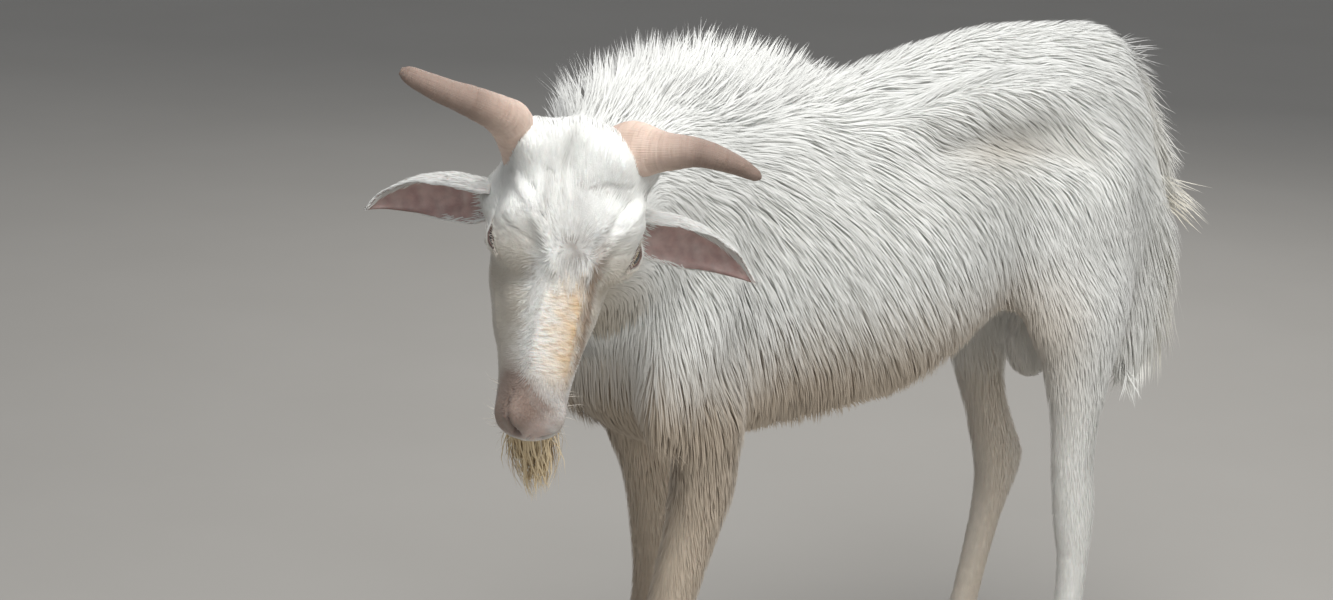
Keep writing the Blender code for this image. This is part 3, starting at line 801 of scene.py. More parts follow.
class Dressing(Nodes):
    """The nodes of one material, round its Principled shader."""

    def __init__(self, name: str) -> None:
        """Starts a material.

        Args:
            name: of the material.
        """
        self.material = bpy.data.materials.new(name)
        self.material.use_nodes = True
        super().__init__(self.material.node_tree)
        self.shader = self.tree.nodes["Principled BSDF"]

    def relief(self, height: Socket, strength: float, distance: float) -> None:
        """Raises the surface by a height."""
        bump = self.add("ShaderNodeBump", {"Height": height, "Strength": strength, "Distance": distance})
        self.feed(self.shader.inputs["Normal"], bump.outputs[0])

    def done(self, base: Socket, values: dict) -> Material:
        """Finishes the material.

        Args:
            base: its colour.
            values: the shader's other inputs, by name.

        Returns:
            The material.
        """
        for name, value in {"Base Color": base, **values}.items():
            self.feed(self.shader.inputs[name], value)
        return self.material


def open_group(name: str, kind: str, inputs: tuple, outputs: tuple) -> tuple[Nodes, dict]:
    """Starts a node group with named inputs and outputs.

    Args:
        name: of the group.
        kind: the tree's type.
        inputs: name, type and value of each.
        outputs: name and type of each.

    Returns:
        Its node adder, and the outputs of its Group Input.
    """
    made = bpy.data.node_groups.new(name, kind)
    for label, sort, value in inputs:
        socket = made.interface.new_socket(label, in_out="INPUT", socket_type="NodeSocket" + sort)
        if value is not None:
            socket.default_value = value
    for label, sort in outputs:
        made.interface.new_socket(label, in_out="OUTPUT", socket_type="NodeSocket" + sort)
    nodes = Nodes(made)
    return nodes, nodes.add("NodeGroupInput").outputs


def hair_grain_group() -> Tree:
    """Builds the group that turns the way along a lock into lighter and darker hairs and their relief.

    Returns:
        The group.
    """
    inputs = (
        ("Colour", "Color", (0.8, 0.8, 0.8, 1)),
        ("Along", "Float", 0.5),
        ("Strand", "Float", 0.5),
        ("Root shade", "Float", 0.35),
        ("Spread", "Float", 0.14),
    )
    outputs = (("Colour", "Color"), ("Height", "Float"))
    nodes, start = open_group("hair_grain", "ShaderNodeTree", inputs, outputs)
    fine = nodes.noise(nodes.place(), 900.0, 2.0)
    # Painted shade towards each lock's root
    root = nodes.ranged(start["Along"], 0.0, 0.45, 1.0, 0.0)
    dark = nodes.times(root, start["Root shade"])
    lift = nodes.times(nodes.less(start["Strand"], 0.5), start["Spread"])
    grain = nodes.times(nodes.less(fine, 0.5), start["Spread"])
    bright = nodes.less(nodes.plus(nodes.plus(0.97, lift), grain), dark)
    shaded = nodes.mix(1.0, start["Colour"], nodes.grey(bright), "MULTIPLY")
    nodes.add("NodeGroupOutput", {"Colour": shaded, "Height": fine})
    return nodes.tree


def short_fur_group() -> Tree:
    """Builds the group that draws short flat hair on skin: a mask of streaks and their relief.

    Returns:
        The group.
    """
    outputs = (("Mask", "Float"), ("Height", "Float"))
    nodes, start = open_group("short_fur", "ShaderNodeTree", (("Scale", "Float", 700.0),), outputs)
    place = nodes.place()
    coarse, fine = nodes.noise(place, 160.0, 3.0), nodes.noise(place, start["Scale"], 3.0)
    nodes.add("NodeGroupOutput", {"Mask": coarse, "Height": nodes.plus(nodes.times(coarse, 0.6), fine)})
    return nodes.tree


@dataclass(frozen=True)
class CoatFinish:
    """Matt hair, lighter and darker from lock to lock and shaded at the roots."""

    name: str
    root_shade: float = 0.07
    spread: float = 0.06
    roughness: float = 0.72
    pale: tuple = (0.9, 0.86, 0.8, 1)

    def build(self, grain: Tree) -> Material:
        """Makes the material for locks.

        Args:
            grain: the hair_grain group.

        Returns:
            The material.
        """
        nodes = Dressing(self.name)
        fed = {"Colour": nodes.read("marking_and_shade", "Color"), "Along": nodes.read("along")}
        fed |= {"Strand": nodes.read("strand"), "Root shade": self.root_shade, "Spread": self.spread}
        hair = nodes.add("ShaderNodeGroup", fed, node_tree=grain).outputs
        nodes.relief(hair["Height"], 0.25, 0.0005)
        return nodes.done(hair["Colour"], self.gloss())

    def build_plain(self, colour: tuple) -> Material:
        """Makes the material for bristles, which carry no attributes.

        Args:
            colour: of the darker hairs.

        Returns:
            The material.
        """
        nodes = Dressing(self.name)
        mottle = nodes.noise(nodes.place(), 400.0, 2.0)
        return nodes.done(nodes.mix(mottle, colour, self.pale), self.gloss())

    def gloss(self) -> dict:
        """The shader's gloss and sheen."""
        sheen = {"Sheen Weight": 0.25, "Sheen Roughness": 0.45}
        return {"Roughness": self.roughness, "Specular IOR Level": 0.22, **sheen}


@dataclass(frozen=True)
class SkinFinish:
    """Skin under short fur, with bare moist places at the nose, lips and lids and a crimped golden strip."""

    name: str = "skin_fur"
    crimp_dark: tuple = (0.34, 0.2, 0.09, 1)
    crimp_pale: tuple = (0.9, 0.8, 0.62, 1)

    def build(self, fur: Tree) -> Material:
        """Makes the material.

        Args:
            fur: the short_fur group.

        Returns:
            The material.
        """
        nodes = Dressing(self.name)
        strip = nodes.read("strip")
        hair = nodes.add("ShaderNodeGroup", {"Scale": 900.0}, node_tree=fur).outputs
        streaks = nodes.grey(nodes.ranged(hair["Mask"], 0.3, 0.7, 0.9, 1.03))
        base = nodes.mix(1.0, nodes.read("marking_and_shade", "Color"), streaks, "MULTIPLY")
        across, down = nodes.times(nodes.read("aside"), 150.0), nodes.times(nodes.read("down_nose"), 480.0)
        crimp = nodes.noise(nodes.spot(across, down), 1.0, 3.0)
        lines = nodes.times(nodes.ranged(crimp, 0.5, 0.66, 0.0, 0.42), strip)
        base = nodes.mix(lines, base, self.crimp_dark)
        pale = nodes.times(nodes.ranged(crimp, 0.48, 0.3, 0.0, 0.35), strip)
        base = nodes.mix(pale, base, self.crimp_pale)
        folds = nodes.times(nodes.times(crimp, strip), 3.0)
        nodes.relief(nodes.plus(hair["Height"], folds), 0.35, 0.0008)
        rough = nodes.ranged(nodes.read("bare"), 0.0, 1.0, 0.75, 0.42)
        soft = {"Subsurface Weight": 0.08, "Subsurface Scale": 0.004}
        return nodes.done(base, {"Roughness": rough, "Specular IOR Level": 0.35, **soft})


# ---- the head's relief
def smooth_rows(rows: Array, steps: int) -> Array:
    """Rows of numbers with a smooth curve drawn through them.

    Args:
        rows: the numbers that the curve goes through.
        steps: rows made for each gap.

    Returns:
        The finer rows, ending on the last one given.
    """
    rows = np.asarray(rows, float)
    padded = np.vstack([2 * rows[0] - rows[1], rows, 2 * rows[-1] - rows[-2]])
    found = []
    for i in range(len(rows) - 1):
        a, b, c, d = padded[i : i + 4]
        for t in np.linspace(0, 1, steps, endpoint=False):
            low = 2 * b + (c - a) * t + (2 * a - 5 * b + 4 * c - d) * t**2
            found.append(0.5 * (low + (3 * b - a - 3 * c + d) * t**3))
    return np.array(found + [rows[-1]])


# Each swelling and hollow on the level head's left side: place, reach and push in tenths of a millimetre
HEAD_RELIEF = (
    ((300, 560, 340), (140, 150, 360), (30, 10, 150)),
    ((0, 540, 340), (65, 220, 300), (0, 0, -85)),
    ((235, 280, 360), (55, 100, 200), (0, 0, 30)),
    ((195, 100, 340), (50, 100, 200), (0, 0, 38)),
    ((185, -70, 300), (50, 80, 200), (4, 0, 32)),
    ((0, 80, 360), (105, 260, 200), (0, 0, -66)),
    ((410, 140, 280), (100, 120, 140), (14, 0, 46)),
    ((300, 300, 340), (60, 70, 120), (0, 0, -20)),
    ((320, -240, 150), (90, 100, 120), (-20, 0, -22)),
    ((400, -200, -220), (120, 140, 60), (22, 0, 0)),
    ((330, -450, -190), (120, 160, 50), (18, 0, 0)),
    ((450, 200, -550), (200, 220, 220), (20, 0, 0)),
    ((440, -190, 80), (300, 130, 200), (-85, 0, 0)),
    ((350, -400, -500), (300, 160, 160), (-45, 0, 0)),
    ((500, 220, 200), (200, 120, 140), (24, 0, 0)),
    ((115, -550, 220), (30, 300, 120), (9, 0, 12)),
    ((150, -1080, 20), (60, 90, 60), (22, -6, 16)),
    ((170, -1100, -180), (90, 120, 70), (22, -10, 0)),
    ((0, -1120, -360), (140, 100, 60), (0, -14, -12)),
    ((0, -1040, 120), (60, 120, 100), (0, 0, 10)),
)
# Each groove there: mouth, nostril, nostril's wing, lip cleft, lid fold and brow folds, with its line, depth
# and width in tenths of a millimetre
HEAD_GROOVES = (
    (
        ((5, -1245, -260), (90, -1220, -265), (170, -1120, -280), (220, -980, -310), (245, -820, -340)),
        36, 13,
    ),
    (((80, -1225, -110), (120, -1190, -50), (165, -1130, -10), (190, -1060, -10)), 85, 23),
    (((200, -1120, -60), (215, -1040, -10), (205, -960, 30)), 10, 16),
    (((0, -1240, -60), (0, -1260, -150), (0, -1250, -250)), 16, 10),
    (((300, -20, 330), (370, 30, 310), (460, 120, 260)), 9, 14),
    (((240, 160, 380), (340, 200, 370), (430, 260, 320)), 10, 15),
    (((40, 380, 400), (140, 420, 410), (290, 460, 380)), 18, 18),
    (((400, 360, 300), (280, 150, 340), (180, -20, 330), (110, -160, 310)), -30, 42),
    (((310, 340, 340), (200, 140, 370), (110, -30, 360)), 18, 20),
    (((230, -120, 240), (240, -280, 200), (220, -450, 140)), 9, 18),
)


@dataclass(frozen=True)
class EyeSetting:
    """Where an eye sits in the level head, which way it looks, and the almond its lids leave open."""

    side: int
    radius: float = 0.0128
    lid: float = 0.0013
    half_long: float = 0.84
    half_upper: float = 0.24
    half_lower: float = 0.22

    @property
    def centre(self) -> Array:
        """The eyeball's middle."""
        return np.array([0.0378, 0.0055, 0.0085] if self.side > 0 else [-0.0385, 0.0015, 0.008])

    def axes(self) -> tuple[Array, Array, Array]:
        """Works out how the eye is turned.

        Returns:
            The way it looks, the way its slit runs back, and the way up across the slit.
        """
        out = unit(np.array([0.78, -0.16, 0.6] if self.side > 0 else [-0.95, -0.14, 0.24]))
        back = np.array([self.side * 0.25, 0.92, -0.15])
        back = unit(back - out * (back @ out))
        upward = np.cross(out, back)
        return out, back, upward * np.sign(upward[2])

    def around(self, count: int, wider: float = 1.0) -> Array:
        """Walks round the lids' margin, from the front corner over the upper lid.

        Args:
            count: how many steps.
            wider: how much wider than the margin.

        Returns:
            Directions from the eyeball's middle.
        """
        out, back, upward = self.axes()
        found = []
        for turn in np.linspace(0, 2 * math.pi, count, endpoint=False):
            long = -math.cos(turn) * self.half_long * wider
            half = self.half_upper if math.sin(turn) > 0 else -self.half_lower
            short = half * (1 - math.cos(turn) ** 2) * wider
            found.append(out + back * math.tan(long) + upward * math.tan(short))
        return unit(np.array(found))

    def lay_lids(self, shape: Array) -> tuple[Array, Array]:
        """Lays the skin over the eyeball as lids with an almond opening.

        Args:
            shape: the head's points.

        Returns:
            The points moved, and how much of each is bare lid.
        """
        out, back, upward = self.axes()
        away = shape - self.centre
        far = np.linalg.norm(away, axis=1)
        facing = away @ out
        picked = np.flatnonzero((far < 0.034) & (facing > 0.05 * far))
        way, far, facing = away[picked] / far[picked, None], far[picked], facing[picked]
        long = np.arctan2(away[picked] @ back, facing)
        short = np.arctan2(away[picked] @ upward, facing)
        half = np.where(short > 0, self.half_upper, self.half_lower)
        square, level = (long / self.half_long) ** 2, np.abs(short) / half
        ring = square + level
        snap = (ring > 0.72) & (ring < 1.34)
        grown = (-level + np.sqrt(level**2 + 4 * square + 1e-9)) / (2 * square + 1e-9)
        grown = np.where(square < 1e-3, 1 / np.maximum(level, 1e-3), grown)
        long, short = np.where(snap, long * grown, long), np.where(snap, short * grown, short)
        onto = unit(out + np.tan(long)[:, None] * back + np.tan(short)[:, None] * upward)
        way = np.where(snap[:, None], onto, way)
        folds = 0.0007 * np.cos(2 * math.pi * (ring - 1.0) / 0.9) * np.exp(-((ring - 1) / 1.6) ** 2)
        over = self.radius + self.lid + folds + 0.0008 * eased(1.0, 1.6, ring)
        share = 1 - eased(1.3, 3.4, ring)
        reach = far * (1 - share) + over * share
        reach = np.maximum(reach, self.radius + 0.001)
        reach = np.where(snap, self.radius + 0.0005, reach)
        reach = np.where(ring <= 0.72, self.radius - 0.0028, reach)
        shape = shape.copy()
        shape[picked] = self.centre + way * reach[:, None]
        bare = np.zeros(len(shape))
        bare[picked] = 1 - eased(1.25, 1.75, ring)
        return shape, bare


EYES = (EyeSetting(1, half_upper=0.36, half_lower=0.32), EyeSetting(-1))


# The hip's ridge, the hollow of the flank and the hollow of the loin on the left side: line, push and
# reach in tenths of a millimetre
LOIN_RELIEF = (
    (
        ((550, 300, 6080), (500, 940, 6260), (460, 1350, 6330), (500, 1850, 6340),
         (620, 2230, 6210), (700, 2680, 5920), (800, 2900, 5580)),
        (65, 0, 55), 170,
    ),
    (((700, 850, 6030), (700, 1360, 6040), (670, 1970, 5980), (720, 2400, 5820)), (-135, 0, -30), 210),
    (
        ((240, 240, 6360), (350, 600, 6370), (350, 1000, 6470), (280, 1650, 6580), (280, 2250, 6570)),
        (-30, 0, -90), 150,
    ),
)


# ---- skin
FLESH = ("trunk", "neck", "head", *(limb.value for limb in Limb))
DEEPEST_COAT = 0.016
# The fill for each seat on the level head's left: horn, ear and eye, with its middle and half sizes in
# tenths of a millimetre
HEAD_SEATS = (
    ((340, 610, 200), (225, 215, 205)),
    ((460, 300, -150), (150, 190, 160)),
    ((400, -10, 60), (165, 195, 175)),
)


def distance_to(places: Array, line: Array) -> Array:
    """Measures how far places are from a line.

    Args:
        places: the places.
        line: points of the line.

    Returns:
        How far each is from its nearest point, up to a metre.
    """
    nearest = np.full(len(places), 1.0)
    for spot in line:
        nearest = np.minimum(nearest, np.linalg.norm(places - spot, axis=1))
    return nearest


@dataclass
class Skin:
    """The one skin under the coat, from the flesh's solids."""

    coat: CoatMap
    voxel: float = 0.0063
    finish: SkinFinish = field(default_factory=SkinFinish)
    body: Piece = field(init=False)
    bare: Array = field(init=False)
    # Painted shade in the deep grooves, and the lids' own darker skin
    dark: Array = field(init=False)
    strip: Array = field(init=False)

    def build(self, fur: Tree) -> Piece:
        """Makes the skin, lays it under the coat, sculpts the head and dresses it.

        Args:
            fur: the short_fur group.

        Returns:
            The skin.
        """
        self.body = self.fused()
        self.lay_under_coat()
        self.shape_loins()
        self.refine_head()
        self.sculpt_head()
        self.dress(fur)
        return self.body

    def fused(self) -> Piece:
        """Joins the flesh, with the seats in it filled.

        Returns:
            One closed mesh.
        """
        shape = bmesh.new()
        for node in FLESH:
            shape.from_mesh(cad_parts[node].data)
        bmesh.ops.remove_doubles(shape, verts=shape.verts, dist=SAME_POINT)
        for plug in self.plugs():
            spare = bpy.data.meshes.new("plug")
            plug.to_mesh(spare)
            plug.free()
            shape.from_mesh(spare)
            bpy.data.meshes.remove(spare)
        whole = bpy.data.meshes.new("skin")
        shape.to_mesh(whole)
        shape.free()
        body = placed("skin", whole)
        remesh = body.modifiers.new("remesh", "REMESH")
        remesh.mode = "VOXEL"
        remesh.voxel_size = self.voxel
        return softened(body, 8)

    @staticmethod
    def plugs() -> list[bmesh.types.BMesh]:
        """Makes the fills for the seats of horns, ears, eyes, hooves, beard and tail.

        Returns:
            The fills.
        """
        made = []
        for side in SIDES:
            for (x, y, z), radii in np.array(HEAD_SEATS) / TENTHS:
                made.append(ellipsoid((side * x, y, z), radii, HEAD_FRAME))
            for end in ("fore", "hind"):
                claws = [box_middle(f"claw_{end}_{SIDES[side]}_{edge}") for edge in "ab"]
                middle = (claws[0] + claws[1]) / 2
                made.append(ellipsoid((middle.x, middle.y + 0.004, 0.032), (0.0195, 0.02, 0.013)))
        made.append(ellipsoid((0, -0.09, -0.046), (0.015, 0.018, 0.014), HEAD_FRAME))
        low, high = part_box("tail")
        for share in np.linspace(0, 0.8, 9):
            middle = ((low.x + high.x) / 2, low.y + 0.016 + share * 0.085, high.z - 0.018 - share * 0.15)
            made.append(ellipsoid(middle, (0.013 - 0.006 * share, 0.01 - 0.004 * share, 0.016)))
        return made

    def lay_under_coat(self) -> None:
        """Moves the skin in by the coat's depth, and lowers the crest of the neck under its mane."""
        for _ in range(2):
            places, normals = points_of(self.body), normals_of(self.body)
            _, sizes = self.coat.at(places, normals)
            depth = np.minimum(sizes[:, 1], DEEPEST_COAT)[:, None] / 2
            set_points(self.body, places - normals * depth)
        places = points_of(self.body)
        back = (places - HOME)[:, 1]
        top = 0.655 - 0.1 * np.clip(back + 0.06, 0, 0.1)
        crest = eased(0.08, -0.02, back) * (np.linalg.norm(to_head(places), axis=1) > 0.1)
        places[:, 2] -= np.maximum(places[:, 2] - top, 0) * 0.65 * crest
        set_points(self.body, places)
        softened(self.body, 5)

    def shape_loins(self) -> None:
        """Raises the ridge over each hip and hollows the flank under it and the loin above it."""
        places = points_of(self.body)
        moved = np.zeros_like(places)
        for line, push, reach in LOIN_RELIEF:
            for side in SIDES:
                mirror = np.array([side, 1, 1])
                nearest = distance_to(places, smooth_rows(np.array(line) / TENTHS, 4) * mirror + HOME)
                near = np.exp(-((nearest / (reach / TENTHS)) ** 2))[:, None]
                moved += near * (np.array(push) / TENTHS * mirror)
        set_points(self.body, places + moved)

    def refine_head(self) -> None:
        """Splits the faces of the head, and those round the eyes and muzzle again."""
        for level in range(3):
            shape = bmesh.new()
            shape.from_mesh(self.body.data)
            shape.verts.ensure_lookup_table()
            head = to_head(np.array([v.co for v in shape.verts]))
            fine = (head[:, 1] < 0.075) & (head[:, 1] > -0.14) & (np.abs(head[:, 0]) < 0.075)
            fine &= (head[:, 2] < 0.07) & (head[:, 2] > -0.085 + 0.3 * np.maximum(head[:, 1], 0))
            if level == 2:
                eye = np.linalg.norm(np.abs(head[:, :1]) * [1, 0, 0] + head * [0, 1, 1] - EYE_PLACE, axis=1)
                fine &= (eye < 0.029) | (head[:, 1] < -0.092)
            chosen = [e for e in shape.edges if fine[e.verts[0].index] and fine[e.verts[1].index]]
            bmesh.ops.subdivide_edges(shape, edges=chosen, cuts=1, use_grid_fill=True, smooth=0.6)
            shape.to_mesh(self.body.data)
            shape.free()
        LOG.info("skin has %d points", len(self.body.data.vertices))

    def sculpt_head(self) -> None:
        """Shapes the brow, sockets, lids, nostrils and mouth."""
        places = points_of(self.body)
        head = to_head(places)
        near = np.flatnonzero(np.linalg.norm(head - [0, -0.02, -0.01], axis=1) < 0.16)
        shape = head[near]
        moved = np.zeros_like(shape)
        leant = shape + np.outer(eased(-0.005, 0.06, shape[:, 1]) * 0.012, (1, 0, 0))
        for place, reach, push in np.array(HEAD_RELIEF) / TENTHS:
            for side in sides_of(place):
                mirror = np.array([side, 1, 1])
                moved += bump_at(leant, place * mirror, reach)[:, None] * (push * mirror)
        shape = shape + moved
        dark = np.zeros(len(shape))
        normals = normals_of(self.body)[near] @ np.array(HEAD_FRAME)[:3, :3]
        for line, depth, width in HEAD_GROOVES:
            for side in sides_of(line[-1]):
                groove = self.groove(shape, np.array(line) / TENTHS * [side, 1, 1], width / TENTHS)
                shape = shape - normals * (groove * (depth / TENTHS))[:, None]
                # The deepest grooves are darkened with painted shade
                dark = np.maximum(dark, groove * eased(0.0012, 0.003, np.array(depth / TENTHS)))
        skin = eased(-0.106, -0.119, shape[:, 1]) * eased(-0.03, -0.018, shape[:, 2])
        for side in SIDES:
            lips = self.groove(shape, np.array(HEAD_GROOVES[0][0]) / TENTHS * [side, 1, 1], 0.0034)
            skin = np.maximum(skin, lips)
        skin = np.maximum(skin, dark)
        for eye in EYES:
            shape, lid = eye.lay_lids(shape)
            skin = np.maximum(skin, lid)
            dark = np.maximum(dark, lid * 0.55)
        self.bare, self.dark = np.zeros(len(places)), np.zeros(len(places))
        self.bare[near], self.dark[near] = skin, dark
        places[near] = from_head(shape)
        set_points(self.body, places)

    @staticmethod
    def groove(shape: Array, line: Array, width: float) -> Array:
        """Lays a line on the skin and finds what is near it.

        Args:
            shape: the skin's points.
            line: places near the skin that the line goes by.
            width: of the groove.

        Returns:
            1 on the line, falling off over the width.
        """
        low, high = line.min(0) - 0.008, line.max(0) + 0.008
        inside = np.flatnonzero(np.all((shape > low) & (shape < high), axis=1))
        found = np.zeros(len(shape))
        if not len(inside):
            return found
        drawn = smooth_rows(line, 6)
        for k, spot in enumerate(drawn):
            drawn[k] = shape[inside[np.argmin(((shape[inside] - spot) ** 2).sum(1))]]
        nearest = distance_to(shape[inside], smooth_rows(drawn[::3], 6))
        found[inside] = np.exp(-((nearest / width) ** 2))
        return found

    def dress(self, fur: Tree) -> None:
        """Gives the skin its colours, its unwrap and its material.

        Args:
            fur: the short_fur group.
        """
        places = points_of(self.body)
        # Painted shade in the deepest grooves, and the lids' darker skin, over the colours
        colour_attribute(self.body, "marking_and_shade", mixed(MARKINGS_AND_SHADE.at(places), MARKINGS_AND_SHADE.crease_shade_and_lid, self.dark * 0.85))
        head = to_head(places)
        self.strip = MARKINGS_AND_SHADE.strip_share(head)
        carried = {"bare": self.bare, "strip": self.strip, "down_nose": head[:, 1], "aside": head[:, 0]}
        for name, values in carried.items():
            number_attribute(self.body, name, values)
        self.body.data.materials.clear()
        self.body.data.materials.append(self.finish.build(fur))
        self.body.data.shade_smooth()
        unwrap(self.body)


def unwrap(piece: Piece) -> None:
    """Unwraps a piece by the way its faces look, into a map named OFBake.

    Args:
        piece: the piece.
    """
    for layer in list(piece.data.uv_layers):
        piece.data.uv_layers.remove(layer)
    piece.data.uv_layers.new(name="OFBake")
    bpy.ops.object.select_all(action="DESELECT")
    piece.select_set(True)
    bpy.context.view_layer.objects.active = piece
    bpy.ops.object.mode_set(mode="EDIT")
    bpy.ops.mesh.select_all(action="SELECT")
    bpy.ops.uv.smart_project(angle_limit=math.radians(66), island_margin=0.002)
    bpy.ops.object.mode_set(mode="OBJECT")


# ---- coat
@dataclass
class Ground:
    """The skin as arrays that locks can be rooted on and laid along."""

    body: Piece
    coat: "CoatMap | EarCoat"
    verts: Array = field(init=False)
    normals: Array = field(init=False)
    tris: Array = field(init=False)
    uvs: Array = field(init=False)
    areas: Array = field(init=False)
    ways: Array = field(init=False)
    sizes: Array = field(init=False)
    tree: BVHTree = field(init=False)

    def __post_init__(self) -> None:
        """Reads the skin's triangles, unwrap and lie."""
        data = self.body.data
        self.verts, self.normals = points_of(self.body), normals_of(self.body)
        data.calc_loop_triangles()
        count = len(data.loop_triangles)
        flat = np.empty(count * 3, np.int32)
        data.loop_triangles.foreach_get("vertices", flat)
        self.tris = flat.reshape(-1, 3)
        loops = np.empty(count * 3, np.int32)
        data.loop_triangles.foreach_get("loops", loops)
        uv = np.empty(len(data.loops) * 2, np.float32)
        data.uv_layers["OFBake"].data.foreach_get("uv", uv)
        self.uvs = uv.reshape(-1, 2)[loops].reshape(-1, 3, 2).astype(float)
        corners = self.verts[self.tris]
        cross = np.cross(corners[:, 1] - corners[:, 0], corners[:, 2] - corners[:, 0])
        self.areas = np.linalg.norm(cross, axis=1) / 2
        self.ways, self.sizes = self.coat.at(self.verts, self.normals)
        self.tree = BVHTree.FromPolygons(self.verts.tolist(), self.tris.tolist())

    def shares(self, tri: Array, points: Array) -> Array:
        """Places points inside their triangles.

        Args:
            tri: the triangle of each.
            points: the points.

        Returns:
            How much each corner counts at each point.
        """
        a, b, c = (self.verts[self.tris[tri, k]] for k in range(3))
        ab, ac, ap = b - a, c - a, points - a
        d00, d01, d11 = (ab * ab).sum(1), (ab * ac).sum(1), (ac * ac).sum(1)
        d20, d21 = (ap * ab).sum(1), (ap * ac).sum(1)
        area = np.maximum(d00 * d11 - d01 * d01, 1e-18)
        second, third = (d11 * d20 - d01 * d21) / area, (d00 * d21 - d01 * d20) / area
        return np.clip(np.stack([1 - second - third, second, third], 1), 0, 1)

    def blended(self, values: Array, tri: Array, shares: Array) -> Array:
        """Values of the points of the skin, blended inside triangles."""
        return (values[self.tris[tri]] * shares[:, :, None]).sum(1)

    def nearest(self, points: Array) -> tuple[Array, Array]:
        """The nearest places of the skin, and their triangles."""
        found = [self.tree.find_nearest(p) for p in points.tolist()]
        return np.array([f[0] for f in found]), np.array([f[2] for f in found])


@dataclass
class Roots:
    """Where the locks of one piece grow, with what the coat's map says there."""

    places: Array
    normals: Array
    ways: Array
    sizes: Array
    uvs: Array

    def __len__(self) -> int:
        """How many locks there are."""
        return len(self.places)


def lock_width(length: Array) -> Array:
    """The width of a lock by its length."""
    return np.interp(length, (0.002, 0.007, 0.014, 0.025, 0.05), (0.0006, 0.0008, 0.001, 0.0012, 0.0014))


def locks_per_area(length: Array) -> Array:
    """How many locks a square metre of skin grows, by their length, so that they overlap enough."""
    layers = np.interp(length, (0.002, 0.007, 0.014, 0.025, 0.05), (1.3, 2.1, 2.5, 3.5, 5.0))
    return layers / (length * lock_width(length))


def rooted(ground: Ground, chosen: Array, seed: int, share: float = 1.0) -> Roots:
    """Spreads roots evenly over some of the skin's triangles.

    Args:
        ground: the skin.
        chosen: which triangles grow this piece.
        seed: for the places inside the triangles.
        share: of the usual number of locks.

    Returns:
        The roots.
    """
    draw = np.random.default_rng(seed)
    tri = np.flatnonzero(chosen)
    length = np.maximum(ground.sizes[ground.tris[tri], 0].mean(1), 0.0012)
    total = np.cumsum(ground.areas[tri] * locks_per_area(length) * share)
    count = np.diff(np.floor(np.concatenate([[0.0], total]) + 0.5)).astype(int)
    tri = np.repeat(tri, count)
    shares = draw.dirichlet((1, 1, 1), len(tri))
    return Roots(
        ground.blended(ground.verts, tri, shares),
        unit(ground.blended(ground.normals, tri, shares)),
        unit(ground.blended(ground.ways, tri, shares)),
        ground.blended(ground.sizes, tri, shares),
        (ground.uvs[tri] * shares[:, :, None]).sum(1),
    )


